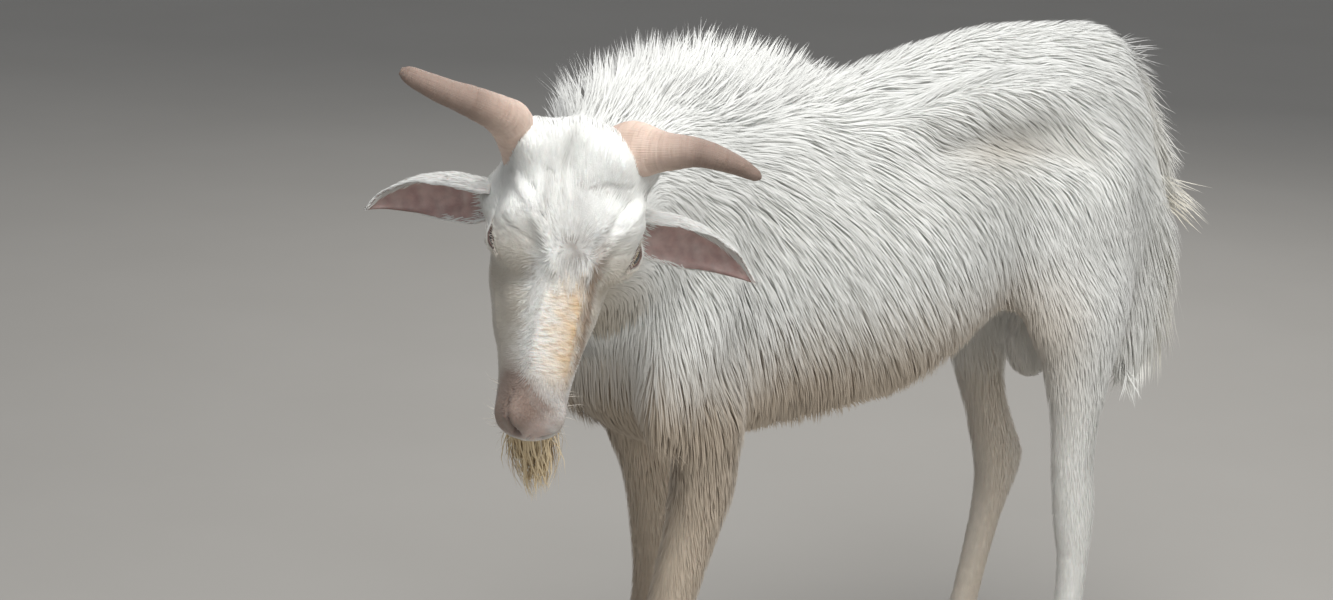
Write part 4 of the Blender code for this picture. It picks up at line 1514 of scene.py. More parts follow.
@dataclass
class Coat:
    """Grows one piece of the coat: thin tapered locks that lie along the skin and gather at their tips."""

    ground: Ground
    rings: int = 5
    wave: float = 0.035
    leaders: float = 0.11
    length_spread: float = 0.22
    tangle: float = 0.07
    spring: float = 0.3

    def grow(self, name: str, roots: Roots, material: Material, seed: int) -> Piece:
        """Makes the piece.

        Args:
            name: of the piece.
            roots: where its locks grow.
            material: its finish.
            seed: for its random draws.

        Returns:
            The piece.
        """
        draw = np.random.default_rng(seed)
        paths, ups = self.paths(roots, draw)
        paths = self.gathered(paths, roots, draw)
        return lock_mesh(name, paths, ups, roots, material, draw)

    def paths(self, roots: Roots, draw: np.random.Generator) -> tuple[Array, Array]:
        """Lays each lock along the skin, or stands it up where the coat stands.

        Args:
            roots: of the locks.
            draw: random numbers.

        Returns:
            Places along each lock, and the way up at each.
        """
        count, steps = len(roots), self.rings
        length = roots.sizes[:, 0] * (1 + self.length_spread * draw.uniform(-1, 1, count))
        depth, lift = roots.sizes[:, 1], np.clip(roots.sizes[:, 2], 0, 1)
        clump = np.clip(roots.sizes[:, 3], 0, 1)
        loft = 0.52 + draw.uniform(-1, 1, count) * (0.04 + 0.13 * clump)
        stray = draw.normal(size=(count, 3)) * (self.tangle * (0.5 + clump))[:, None]
        phase = ripple(roots.places, 0.045, 21) * 1.6
        across = np.cross(roots.ways, roots.normals)
        standing = eased(0.15, 0.6, lift)[:, None]
        free_way = unit(roots.ways * (1 - lift[:, None]) + roots.normals * lift[:, None] + stray * 1.2)
        spot, normal, way = roots.places.copy(), roots.normals.copy(), roots.ways.copy()
        paths, ups = [roots.places - roots.normals * 0.0006], [roots.normals]
        heading = unit(roots.ways + roots.normals * 0.12)
        for k in range(1, steps):
            t = k / (steps - 1)
            way = unit(way + stray * 0.5)
            spot, tri = self.ground.nearest(spot + way * (length / (steps - 1))[:, None])
            shares = self.ground.shares(tri, spot)
            normal = unit(self.ground.blended(self.ground.normals, tri, shares))
            way = unit(self.ground.blended(self.ground.ways, tri, shares))
            rise = depth * loft * (1 - (1 - t) ** 1.6) + lift * length * 0.25 * t
            swing = np.sin(2 * math.pi * (1.15 * t) + phase * math.pi) * self.wave * length * t
            lying = spot + normal * rise[:, None] + across * swing[:, None]
            hang = eased(-0.05, -0.45, normal[:, 2]) * eased(0.02, 0.034, length)
            shown = unit(normal + roots.normals * (1 + 3 * hang[:, None]))
            shown[:, 2] += 0.5 * eased(0.1, -0.9, shown[:, 2])
            stiff = (self.spring + (0.96 - self.spring) * hang)[:, None]
            heading = unit(heading * stiff + unit(lying - paths[-1]) * (1 - stiff))
            lying = paths[-1] + heading * (length / (steps - 1))[:, None]
            droop = np.array([0, 0, -1]) * (0.22 * t * t * length * (1 - lift))[:, None]
            free = roots.places + free_way * (length * t)[:, None] + droop + across * swing[:, None]
            paths.append(lying * (1 - standing) + free * standing)
            ups.append(unit(shown))
        return np.stack(paths, 1), np.stack(ups, 1)

    def gathered(self, paths: Array, roots: Roots, draw: np.random.Generator) -> Array:
        """Draws the tips of neighbouring locks together round a leader.

        Args:
            paths: places along each lock.
            roots: of the locks.
            draw: random numbers.

        Returns:
            The paths moved.
        """
        leader = np.flatnonzero(draw.random(len(roots)) < self.leaders)
        if len(leader) < 2:
            return paths
        tree = KDTree(len(leader))
        for k, index in enumerate(leader.tolist()):
            tree.insert(roots.places[index], k)
        tree.balance()
        found = [tree.find(p) for p in roots.places.tolist()]
        guide = leader[np.array([f[1] for f in found])]
        near = 1 - eased(0.01, 0.02, np.array([f[2] for f in found]))
        t = np.linspace(0, 1, paths.shape[1])[None, :, None]
        pull = (np.maximum(roots.sizes[:, 3] - 0.15, 0) * 1.15 * near)[:, None, None]
        pull = pull * (t * t * (3 - 2 * t)) * 0.7
        beside = (roots.places - roots.places[guide])[:, None] * 0.22
        return paths * (1 - pull) + (paths[guide] + beside) * pull


# How far a lock's sides lean its shading away from the skin's, and the least that it looks off its own face
SHADING_SPREAD = 0.11
LEAST_RISE = 0.45
RING_POINTS = 5


def in_rings(*sides: Array) -> Array:
    """The points of every ring of each lock in one row, from the rows of each side."""
    return np.stack(sides, axis=2).reshape(len(sides[0]), -1, 3)


def lock_tris(rings: int) -> Array:
    """Closes one lock at root and tip, with a ridged upper face and a flat under face.

    Each ring has the upper face's left, ridge and right points, and the under face's left and right.

    Args:
        rings: of points before the tip.

    Returns:
        The lock's triangles.
    """
    tris = [(3, 4, 1)]
    strips = ((1, 0), (2, 1), (3, 4))
    last = (rings - 1) * RING_POINTS
    for a in range(0, last, RING_POINTS):
        for first, second in strips:
            tris.append((a + first, a + RING_POINTS + second, a + second))
            tris.append((a + first, a + RING_POINTS + first, a + RING_POINTS + second))
    tips = (last + RING_POINTS, last + RING_POINTS, last + RING_POINTS + 1)
    tris += [(last + second, last + first, tip) for (first, second), tip in zip(strips, tips)]
    return np.array(tris)


def lock_mesh(
    name: str,
    paths: Array,
    ups: Array,
    roots: Roots,
    material: Material,
    draw: np.random.Generator,
) -> Piece:
    """Turns paths into closed three-sided locks that end in points, as one mesh.

    Args:
        name: of the piece.
        paths: places along each lock, from root to tip.
        ups: the way up at each place.
        roots: of the locks.
        material: the finish.
        draw: random numbers.

    Returns:
        The piece, with its colours and its OFBake map.
    """
    count, steps = paths.shape[:2]
    rings = steps - 1
    along = unit(np.gradient(paths, axis=1))
    side = np.cross(roots.ways, roots.normals)[:, None]
    side = unit(side - along * (side * along).sum(2, keepdims=True))
    up = unit(np.cross(side, along))
    twist = draw.normal(0, 0.18, count)[:, None, None]
    side, up = side * np.cos(twist) + up * np.sin(twist), up * np.cos(twist) - side * np.sin(twist)
    level = (ups * up).sum(2, keepdims=True)
    lean, rise = ups - up * level, up * np.clip(level, LEAST_RISE, 1)
    t = np.linspace(0, 1, steps)
    taper = np.interp(t, (0, 0.25, 0.6, 1), (0.75, 1.0, 0.8, 0.25))
    width = lock_width(roots.sizes[:, 0]) * draw.uniform(0.75, 1.25, count)
    half = (width[:, None] * taper[None])[:, :rings, None] / 2
    middle = paths[:, :rings]
    left = middle - side[:, :rings] * half - up[:, :rings] * half * 0.1
    right = middle + side[:, :rings] * half - up[:, :rings] * half * 0.1
    ridge = middle + up[:, :rings] * half * 0.16
    tip = paths[:, -1:]
    verts = np.concatenate([in_rings(left, ridge, right, left, right), tip, tip], axis=1)
    tris, each = lock_tris(rings), verts.shape[1]
    every = (tris[None] + (np.arange(count) * each)[:, None, None]).reshape(-1, 3)
    piece = triangle_object(name, verts.reshape(-1, 3), every)
    colour_attribute(piece, "marking_and_shade", np.repeat(MARKINGS_AND_SHADE.at(roots.places), each, axis=0))
    number_attribute(piece, "strand", np.repeat(draw.random(count), each))
    reached = np.concatenate([np.repeat(t[:rings], RING_POINTS), [1.0, 1.0]])
    number_attribute(piece, "along", np.tile(reached, count))
    corner = np.concatenate([np.tile([-1.0, 0.0, 1.0, -1.0, 1.0], rings), [0.0, 0.0]])
    patch = np.stack([corner, reached * 2 - 1], 1) * 0.0015
    uv = (roots.uvs[:, None] + patch[None]).reshape(-1, 2)[every.ravel()]
    layer = piece.data.uv_layers.new(name="OFBake")
    layer.data.foreach_set("uv", uv.astype(np.float32).ravel())
    piece.data.materials.append(material)
    piece.data.shade_smooth()
    over, under, aside = lean + rise, lean - rise, side[:, :rings] * SHADING_SPREAD
    top, low = over[:, :rings], under[:, :rings]
    shading = in_rings(top - aside, top, top + aside, low - aside, low + aside)
    shading = unit(np.concatenate([shading, over[:, -1:], under[:, -1:]], axis=1).reshape(-1, 3))
    set_normals(piece, shading[every.ravel()])
    return piece


@dataclass
class Pelt:
    """Parts the skin into regions and grows the coat of each."""

    ground: Ground
    bare: Array
    seed: int = 40

    def build(self, coat: Material) -> None:
        """Grows every region's piece.

        Args:
            coat: the finish of its locks.
        """
        middle = self.ground.verts[self.ground.tris].mean(1)
        head = to_head(middle)
        face = (np.linalg.norm(head + [0, 0.03, 0], axis=1) < 0.135) & (head[:, 1] < 0.062)
        side, back, _ = (middle - HOME).T
        low = middle[:, 2] < 0.375
        legs = ~face & low
        fore, behind = back < -0.1, back > 0.19
        neck, left = back < -0.215, side > 0
        trunk = ~face & ~low
        regions = {
            "coat_face": (face, 3, 1.0),
            "coat_neck": (trunk & neck, 4, 1.0),
            "coat_shoulders": (trunk & fore & ~neck, 4, 1.1),
            "coat_flank_left": (trunk & ~fore & ~behind & left, 4, 1.1),
            "coat_flank_right": (trunk & ~fore & ~behind & ~left, 4, 1.0),
            "coat_rump_left": (trunk & behind & left, 4, 1.0),
            "coat_rump_right": (trunk & behind & ~left, 4, 0.9),
            "coat_forelegs": (legs & (back < 0.05), 3, 0.62),
            "coat_hindlegs": (legs & (back >= 0.05), 3, 0.62),
        }
        furred = self.bare[self.ground.tris].mean(1) < 0.45
        for k, (name, (chosen, rings, share)) in enumerate(regions.items()):
            roots = rooted(self.ground, chosen & furred, self.seed + k, share)
            ride(Coat(self.ground, rings).grow(name, roots, coat, self.seed + 20 + k), "coat")


# ---- eyes
def ring_faces(rings: int, around: int) -> list[tuple[int, int, int, int]]:
    """Joins closed rings of points.

    Args:
        rings: how many.
        around: points of a ring.

    Returns:
        Four-sided faces between each ring and the next.
    """
    turn = [(k, (k + 1) % around) for k in range(around)]
    steps = [(r * around, (r + 1) * around) for r in range(rings - 1)]
    return [(low + a, low + b, high + b, high + a) for low, high in steps for a, b in turn]


def end_caps(rings: int, around: int, first: int) -> list[tuple[int, int, int]]:
    """Closes a tube of rings with a point beyond each end.

    Args:
        rings: how many.
        around: points of a ring.
        first: the point before the first ring; the next is the one after the last.

    Returns:
        The triangles of both ends.
    """
    turn = [(k, (k + 1) % around) for k in range(around)]
    last = (rings - 1) * around
    return [(first, b, a) for a, b in turn] + [(first + 1, last + a, last + b) for a, b in turn]


def outward(piece: Piece) -> Piece:
    """Turns a piece's faces outwards, with any of many sides made triangles, and smooths them.

    Args:
        piece: the piece.

    Returns:
        The same piece.
    """
    shape = bmesh.new()
    shape.from_mesh(piece.data)
    bmesh.ops.triangulate(shape, faces=[f for f in shape.faces if len(f.verts) > 4])
    bmesh.ops.recalc_face_normals(shape, faces=shape.faces)
    shape.to_mesh(piece.data)
    shape.free()
    piece.data.shade_smooth()
    return piece


def tube_rings(line: Array, across: Array, halves: Array, around: int) -> Array:
    """Rings of points square to a line.

    Args:
        line: the middle of each ring.
        across: the way of each ring's first half width.
        halves: half width and half depth of each ring.
        around: points of a ring.

    Returns:
        The points, ring after ring.
    """
    along = unit(np.gradient(line, axis=0))
    side = unit(across - along * (along * across).sum(1, keepdims=True))
    depth = np.cross(along, side)
    turns = np.linspace(0, 2 * math.pi, around, endpoint=False)
    ring = side[:, None] * (np.cos(turns)[None, :, None] * halves[:, None, :1])
    ring = ring + depth[:, None] * (np.sin(turns)[None, :, None] * halves[:, None, 1:])
    return (line[:, None] + ring).reshape(-1, 3)


@dataclass(frozen=True)
class EyeFinish:
    """A moist eyeball: pale sclera, amber iris with fibres and a level slot of a pupil."""

    name: str = "eye_amber"
    iris: float = 0.8
    slot_long: float = 0.4
    slot_tall: float = 0.15
    amber: tuple = (0.42, 0.33, 0.18, 1)
    brown: tuple = (0.2, 0.125, 0.055, 1)
    fibre: tuple = (0.62, 0.56, 0.42, 1)
    rim: tuple = (0.04, 0.025, 0.015, 1)
    sclera: tuple = (0.5, 0.4, 0.33, 1)
    pupil: tuple = (0.008, 0.007, 0.008, 1)

    def build(self) -> Material:
        """Makes the material.

        Returns:
            The material.
        """
        nodes = Dressing(self.name)
        back, over = nodes.read("slit_way"), nodes.read("over_slit")
        place = nodes.spot(back, over)
        out = nodes.add("ShaderNodeVectorMath", {0: place}, operation="LENGTH").outputs["Value"]
        turn = nodes.times(nodes.math("ARCTAN2", over, back), 9.0)
        fibres = nodes.noise(nodes.spot(turn, out), 3.0, 4.0)
        iris = nodes.mix(nodes.ranged(out, 0.15, self.iris, 0.0, 1.0), self.amber, self.brown)
        iris = nodes.mix(nodes.times(fibres, 0.45), iris, self.fibre)
        iris = nodes.mix(nodes.ranged(out, self.iris - 0.07, self.iris, 0.0, 0.85), iris, self.rim)
        colour = nodes.mix(nodes.ranged(out, self.iris, self.iris + 0.05, 0.0, 1.0), iris, self.sclera)
        wide = nodes.math("POWER", nodes.math("ABSOLUTE", nodes.math("DIVIDE", back, self.slot_long)), 3.0)
        tall = nodes.math("POWER", nodes.math("ABSOLUTE", nodes.math("DIVIDE", over, self.slot_tall)), 3.0)
        slot = nodes.ranged(nodes.plus(wide, tall), 0.8, 1.15, 1.0, 0.0)
        moist = {"Roughness": 0.25, "Coat Weight": 1.0, "Coat Roughness": 0.03}
        return nodes.done(nodes.mix(slot, colour, self.pupil), moist)


@dataclass(frozen=True)
class MoistFinish:
    """Bare dark moist skin of the lids' rims."""

    name: str = "lid_rim"
    dark: tuple = (0.085, 0.05, 0.042, 1)
    pale: tuple = (0.2, 0.12, 0.1, 1)

    def build(self) -> Material:
        """Makes the material.

        Returns:
            The material.
        """
        nodes = Dressing(self.name)
        spots = nodes.noise(nodes.place(), 600.0, 3.0)
        nodes.relief(spots, 0.4, 0.0003)
        return nodes.done(nodes.mix(spots, self.dark, self.pale), {"Roughness": 0.32})


def open_growth(name: str, **sizes: float) -> tuple[Nodes, dict]:
    """Starts a Geometry Nodes tree that takes a mesh, some sizes and a Finish.

    Args:
        name: of the tree.
        sizes: its own inputs, with their usual values.

    Returns:
        Its node adder, and the outputs of its Group Input.
    """
    own = tuple((label, "Float", value) for label, value in sizes.items())
    inputs = (("Geometry", "Geometry", None), *own, ("Finish", "Material", None))
    return open_group(name, "GeometryNodeTree", inputs, (("Geometry", "Geometry"),))


def close_growth(nodes: Nodes, start: dict, result: Socket) -> Tree:
    """Ends a Geometry Nodes tree in Realize Instances and Set Material.

    Args:
        nodes: its node adder.
        start: the outputs of its Group Input.
        result: what it has made.

    Returns:
        The tree.
    """
    real = nodes.add("GeometryNodeRealizeInstances", {"Geometry": result}).outputs[0]
    dressed = nodes.add("GeometryNodeSetMaterial", {"Geometry": real, "Material": start["Finish"]})
    nodes.add("NodeGroupOutput", {"Geometry": dressed.outputs[0]})
    return nodes.tree


def grown(piece: Piece, tree: Tree, **inputs: object) -> Piece:
    """Runs a Geometry Nodes tree on a piece.

    Args:
        piece: what it starts from.
        tree: the tree.
        inputs: values of the tree's inputs, by name.

    Returns:
        The same piece as plain smooth mesh.
    """
    growth = piece.modifiers.new("growth", "NODES")
    growth.node_group = tree
    sockets = {item.name: item.identifier for item in tree.interface.items_tree if item.in_out == "INPUT"}
    for name, value in inputs.items():
        growth[sockets[name]] = value
    applied(piece)
    piece.data.shade_smooth()
    return piece


def bristle_tree(name: str, length: float, curl: float) -> Tree:
    """Builds a tree that stands a fine curved bristle on every point of a mesh.

    Args:
        name: of the tree.
        length: of a bristle, changed by each point's own size.
        curl: how far the tip turns down, as a share of the length.

    Returns:
        The tree, with Length, Thickness and Finish as its inputs.
    """
    nodes, start = open_growth(name, Length=length, Thickness=0.00022)
    line = {"Resolution": 5, "Start": (0, 0, 0), "Middle": (0, 0, 0.6), "End": (curl, 0, 0.95)}
    bend = nodes.add("GeometryNodeCurveQuadraticBezier", line).outputs[0]
    taper = nodes.add("GeometryNodeSplineParameter").outputs["Factor"]
    share = nodes.math("DIVIDE", nodes.times(nodes.less(1.06, taper), start["Thickness"]), start["Length"])
    outline = nodes.add("GeometryNodeCurvePrimitiveCircle", {"Resolution": 4, "Radius": 1.0}).outputs[0]
    sized = nodes.add("GeometryNodeSetCurveRadius", {"Curve": bend, "Radius": share}).outputs[0]
    swept = {"Curve": sized, "Profile Curve": outline, "Fill Caps": True}
    bristle = nodes.add("GeometryNodeCurveToMesh", swept)
    if "Scale" in bristle.inputs:
        nodes.feed(bristle.inputs["Scale"], share)
    way = nodes.add("GeometryNodeInputNamedAttribute", {"Name": "bristle_way"}, data_type="FLOAT_VECTOR")
    own = nodes.add("GeometryNodeInputNamedAttribute", {"Name": "bristle_size"}, data_type="FLOAT")
    turned = nodes.add("FunctionNodeAlignEulerToVector", {"Vector": way.outputs[0]}, axis="Z").outputs[0]
    size = nodes.times(own.outputs[0], start["Length"])
    stood = {"Points": start["Geometry"], "Instance": bristle.outputs[0], "Rotation": turned, "Scale": size}
    return close_growth(nodes, start, nodes.add("GeometryNodeInstanceOnPoints", stood).outputs[0])


def bristled(name: str, places: Array, ways: Array, tree: Tree, finish: Material) -> Piece:
    """Stands bristles on points, each along its own way.

    Args:
        name: of the piece.
        places: where bristles stand.
        ways: their directions, as long as the bristle's share of the tree's length.
        tree: the Geometry Nodes tree.
        finish: the material.

    Returns:
        The piece as plain mesh.
    """
    piece = mesh_object(name, places, [])
    layer = piece.data.attributes.new("bristle_way", "FLOAT_VECTOR", "POINT")
    layer.data.foreach_set("vector", unit(ways).astype(np.float32).ravel())
    number_attribute(piece, "bristle_size", np.linalg.norm(ways, axis=1))
    return grown(piece, tree, Finish=finish)


@dataclass
class Eyes:
    """The two eyeballs, their lids' rims and their lashes."""

    around: int = 48
    rings: int = 26
    bulge: float = 0.0006
    lash_colour: tuple = (0.6, 0.52, 0.45, 1)

    def build(self) -> None:
        """Builds both sides."""
        finish = EyeFinish().build()
        for eye in EYES:
            ride(self.eyeball(eye, finish), "eye", f"eye_{SIDES[eye.side]}")
        ride(self.rims(MoistFinish().build()), "eye")
        ride(self.lashes(), "coat")

    def eyeball(self, eye: EyeSetting, finish: Material) -> Piece:
        """Makes a ball that bulges at the cornea.

        Args:
            eye: where it sits.
            finish: its material.

        Returns:
            The piece.
        """
        out, back, upward = eye.axes()
        lean = np.linspace(0, math.pi, self.rings)[1:-1]
        turn = np.linspace(0, 2 * math.pi, self.around, endpoint=False)
        lean, turn = (grid.ravel() for grid in np.meshgrid(lean, turn, indexing="ij"))
        slit_way, over_slit = np.sin(lean) * np.cos(turn), np.sin(lean) * np.sin(turn)
        way = np.cos(lean)[:, None] * out + slit_way[:, None] * back + over_slit[:, None] * upward
        radius = eye.radius + self.bulge * np.exp(-((lean / 0.6) ** 2))
        verts = eye.centre + way * radius[:, None]
        poles = np.array([eye.centre + out * (eye.radius + self.bulge), eye.centre - out * eye.radius])
        rings = self.rings - 2
        faces = ring_faces(rings, self.around) + end_caps(rings, self.around, len(verts))
        piece = mesh_object(f"eyeball_{SIDES[eye.side]}", from_head(np.vstack([verts, poles])), faces)
        number_attribute(piece, "slit_way", np.append(slit_way, [0, 0.99]))
        number_attribute(piece, "over_slit", np.append(over_slit, [0, 0]))
        piece.data.materials.append(finish)
        return outward(piece)

    @staticmethod
    def rims(finish: Material) -> Piece:
        """Makes the dark rims of the lids.

        Args:
            finish: their material.

        Returns:
            Both rims as one piece.
        """
        count, around = 72, 8
        verts, faces = [], []
        turns = np.linspace(0, 2 * math.pi, around, endpoint=False)
        wide = 0.00095 + 0.0002 * np.sin(np.arange(count) * 0.9)
        for eye in EYES:
            line = from_head(eye.centre + eye.around(count) * (eye.radius + 0.0006))
            along = unit(np.roll(line, -1, 0) - np.roll(line, 1, 0))
            out = unit(line - from_head(np.array([eye.centre])))
            side = np.cross(along, out)
            ring = side[:, None] * np.cos(turns)[None, :, None]
            ring = ring + out[:, None] * np.sin(turns)[None, :, None] * 0.8
            total, base = count * around, len(verts) * count * around
            verts.append((line[:, None] + ring * wide[:, None, None]).reshape(-1, 3))
            faces += [tuple(base + c % total for c in face) for face in ring_faces(count + 1, around)]
        piece = mesh_object("lid_rims", np.vstack(verts), faces)
        piece.data.materials.append(finish)
        return outward(piece)

    def lashes(self) -> Piece:
        """Stands a row of fine lashes on each upper lid.

        Returns:
            The piece.
        """
        draw = np.random.default_rng(71)
        places, ways = [], []
        for eye in EYES:
            out, _, upward = eye.axes()
            upper = eye.around(120, 1.06)[4:58]
            places.append(eye.centre + upper * (eye.radius + 0.001))
            lean = upper * 0.7 + upward * 0.45 - out * 0.05 + draw.normal(0, 0.12, upper.shape)
            ways.append(unit(lean) * draw.uniform(0.7, 1.2, (len(upper), 1)))
        finish = CoatFinish("lash_hair").build_plain(self.lash_colour)
        places, ways = from_head(np.vstack(places)), turn_from_head(np.vstack(ways))
        return bristled("lashes", places, ways, bristle_tree("lash_row", 0.0065, 0.2), finish)


# ---- horns
# Left and right horns in the level head: place, half width across and half depth in tenths of a millimetre
HORN_STATIONS = {
    1: (
        (200, 640, 40, 210, 130), (290, 700, 280, 210, 140), (480, 710, 480, 130, 130),
        (670, 730, 570, 95, 105), (890, 700, 600, 70, 80), (1070, 660, 560, 45, 50),
        (1120, 650, 550, 20, 20),
    ),
    -1: (
        (-380, 600, 0, 180, 120), (-490, 690, 260, 180, 130), (-640, 730, 490, 130, 130),
        (-870, 760, 590, 100, 110), (-1130, 800, 610, 80, 85), (-1290, 850, 580, 55, 60),
        (-1350, 870, 570, 25, 25),
    ),
}


@dataclass(frozen=True)
class HornFinish:
    """Matt tan horn: lengthwise fibres, mottling, darker towards the tip and in the growth rings."""

    name: str = "horn_tan"
    brown: tuple = (0.5, 0.32, 0.24, 1)
    tan: tuple = (0.88, 0.69, 0.58, 1)
    fibre: tuple = (0.8, 0.68, 0.6, 1)
    ring: tuple = (0.34, 0.18, 0.12, 1)
    tip: tuple = (0.215, 0.15, 0.12, 1)

    def build(self) -> Material:
        """Makes the material.

        Returns:
            The material.
        """
        nodes = Dressing(self.name)
        along, turn = nodes.read("along"), nodes.read("turn")
        mottle = nodes.noise(nodes.place(), 85.0, 5.0)
        fibre = nodes.noise(nodes.spot(nodes.times(turn, 26.0), nodes.times(along, 3.0)), 3.0, 5.0)
        band = nodes.noise(nodes.spot(nodes.times(along, 42.0), turn), 1.0, 2.0)
        base = nodes.mix(mottle, self.brown, self.tan)
        base = nodes.mix(nodes.times(fibre, 0.55), base, self.fibre)
        base = nodes.mix(nodes.ranged(band, 0.44, 0.7, 0.0, 0.16), base, self.ring)
        base = nodes.mix(nodes.ranged(along, 0.36, 0.62, 0.0, 0.85), base, self.tip)
        nodes.relief(nodes.plus(nodes.times(fibre, 0.7), nodes.times(band, 1.2)), 0.9, 0.0009)
        rough = nodes.ranged(mottle, 0.2, 0.8, 0.5, 0.68)
        return nodes.done(base, {"Roughness": rough, "Subsurface Weight": 0.06, "Subsurface Scale": 0.004})


@dataclass
class Horns:
    """The two horns, swept out sideways, with low growth rings towards their roots."""

    steps: int = 16
    around: int = 40
    ring_count: float = 17.0
    ring_height: float = 0.00016
    dent: float = 0.0022

    def build(self) -> None:
        """Builds both horns."""
        finish, tree = HornFinish().build(), self.growth_tree()
        for side, name in SIDES.items():
            sizes = {"Rings": self.ring_count + side, "Height": self.ring_height}
            ride(grown(self.blank(side, name), tree, Finish=finish, **sizes), "horn", f"horn_{name}")

    def blank(self, side: int, name: str) -> Piece:
        """Makes a smooth horn with its length and turn written on its points.

        Args:
            side: 1 for the left, -1 for the right.
            name: of the side.

        Returns:
            The horn before its rings.
        """
        rows = smooth_rows(np.array(HORN_STATIONS[side]) / TENTHS, self.steps)
        line = from_head(rows[:, :3])
        across = np.tile(turn_from_head([[0, -1, 0.2]]), (len(rows), 1))
        verts = tube_rings(line, across, rows[:, 3:], self.around)
        away = np.linalg.norm(np.diff(line, axis=0), axis=1)
        level = np.concatenate([[0], np.cumsum(away)]) / away.sum()
        tip = line[-1] + (line[-1] - line[-2]) * 0.9
        faces = ring_faces(len(rows), self.around) + end_caps(len(rows), self.around, len(verts))
        verts = np.vstack([verts, line[:1], tip[None]])
        piece = outward(mesh_object(f"horn_sheath_{name}", verts, faces))
        number_attribute(piece, "along", np.append(np.repeat(level, self.around), [0, 1]))
        turns = np.abs(np.linspace(-1, 1, self.around, endpoint=False))
        number_attribute(piece, "turn", np.append(np.tile(turns, len(rows)), [0, 0]))
        return piece

    def growth_tree(self) -> Tree:
        """Builds a tree that dents a horn and swells it in rings that fade towards its tip.

        Returns:
            The tree, with Rings, Height and Finish as its inputs.
        """
        nodes, start = open_growth("horn_growth", Rings=self.ring_count, Height=self.ring_height)
        level = nodes.add("GeometryNodeInputNamedAttribute", {"Name": "along"}, data_type="FLOAT").outputs[0]
        lumps = nodes.add("ShaderNodeTexNoise", {"Scale": 45.0, "Detail": 2.0}).outputs[0]
        unevenly = nodes.plus(level, nodes.times(lumps, 0.09))
        wave = nodes.math("SINE", nodes.times(nodes.times(unevenly, start["Rings"]), FULL_TURN))
        swell = nodes.times(nodes.times(wave, nodes.less(1.0, level)), start["Height"])
        push = nodes.plus(swell, nodes.times(nodes.less(lumps, 0.5), self.dent))
        normal = nodes.add("GeometryNodeInputNormal").outputs[0]
        offset = nodes.add("ShaderNodeVectorMath", {0: normal, "Scale": push}, operation="SCALE").outputs[0]
        moved = nodes.add("GeometryNodeSetPosition", {"Geometry": start["Geometry"], "Offset": offset})
        return close_growth(nodes, start, moved.outputs[0])


# ---- ears
@dataclass(frozen=True)
class EarFinish:
    """Dusty pink bare skin inside, pale furry skin outside, brown along the rim near the tip."""

    name: str = "ear_pink"
    glow: tuple = (1.0, 0.35, 0.25)

    def build(self, fur: Tree) -> Material:
        """Makes the material.

        Args:
            fur: the short_fur group.

        Returns:
            The material.
        """
        nodes = Dressing(self.name)
        hair = nodes.add("ShaderNodeGroup", node_tree=fur).outputs
        streaks = nodes.grey(nodes.ranged(hair["Mask"], 0.3, 0.7, 0.82, 1.06))
        nodes.relief(hair["Height"], 0.4, 0.0006)
        base = nodes.mix(1.0, nodes.read("marking_and_shade", "Color"), streaks, "MULTIPLY")
        soft = {"Subsurface Weight": 0.15, "Subsurface Scale": 0.005, "Subsurface Radius": self.glow}
        return nodes.done(base, {"Roughness": 0.58, **soft})


@dataclass
class EarCoat:
    """How the short hair lies on an ear: towards its tip."""

    way: Array
    length: float = 0.0085

    def at(self, points: Array, normals: Array) -> tuple[Array, Array]:
        """Lays the hair along the ear.

        Args:
            points: places on it.
            normals: its normal at each.

        Returns:
            The way that the hair lies, and rows of length, depth, lift and clump.
        """
        way = np.tile(self.way, (len(points), 1))
        way = unit(way - normals * (way * normals).sum(1, keepdims=True))
        return way, np.tile([self.length, 0.0012, 0.1, 0.35], (len(points), 1))


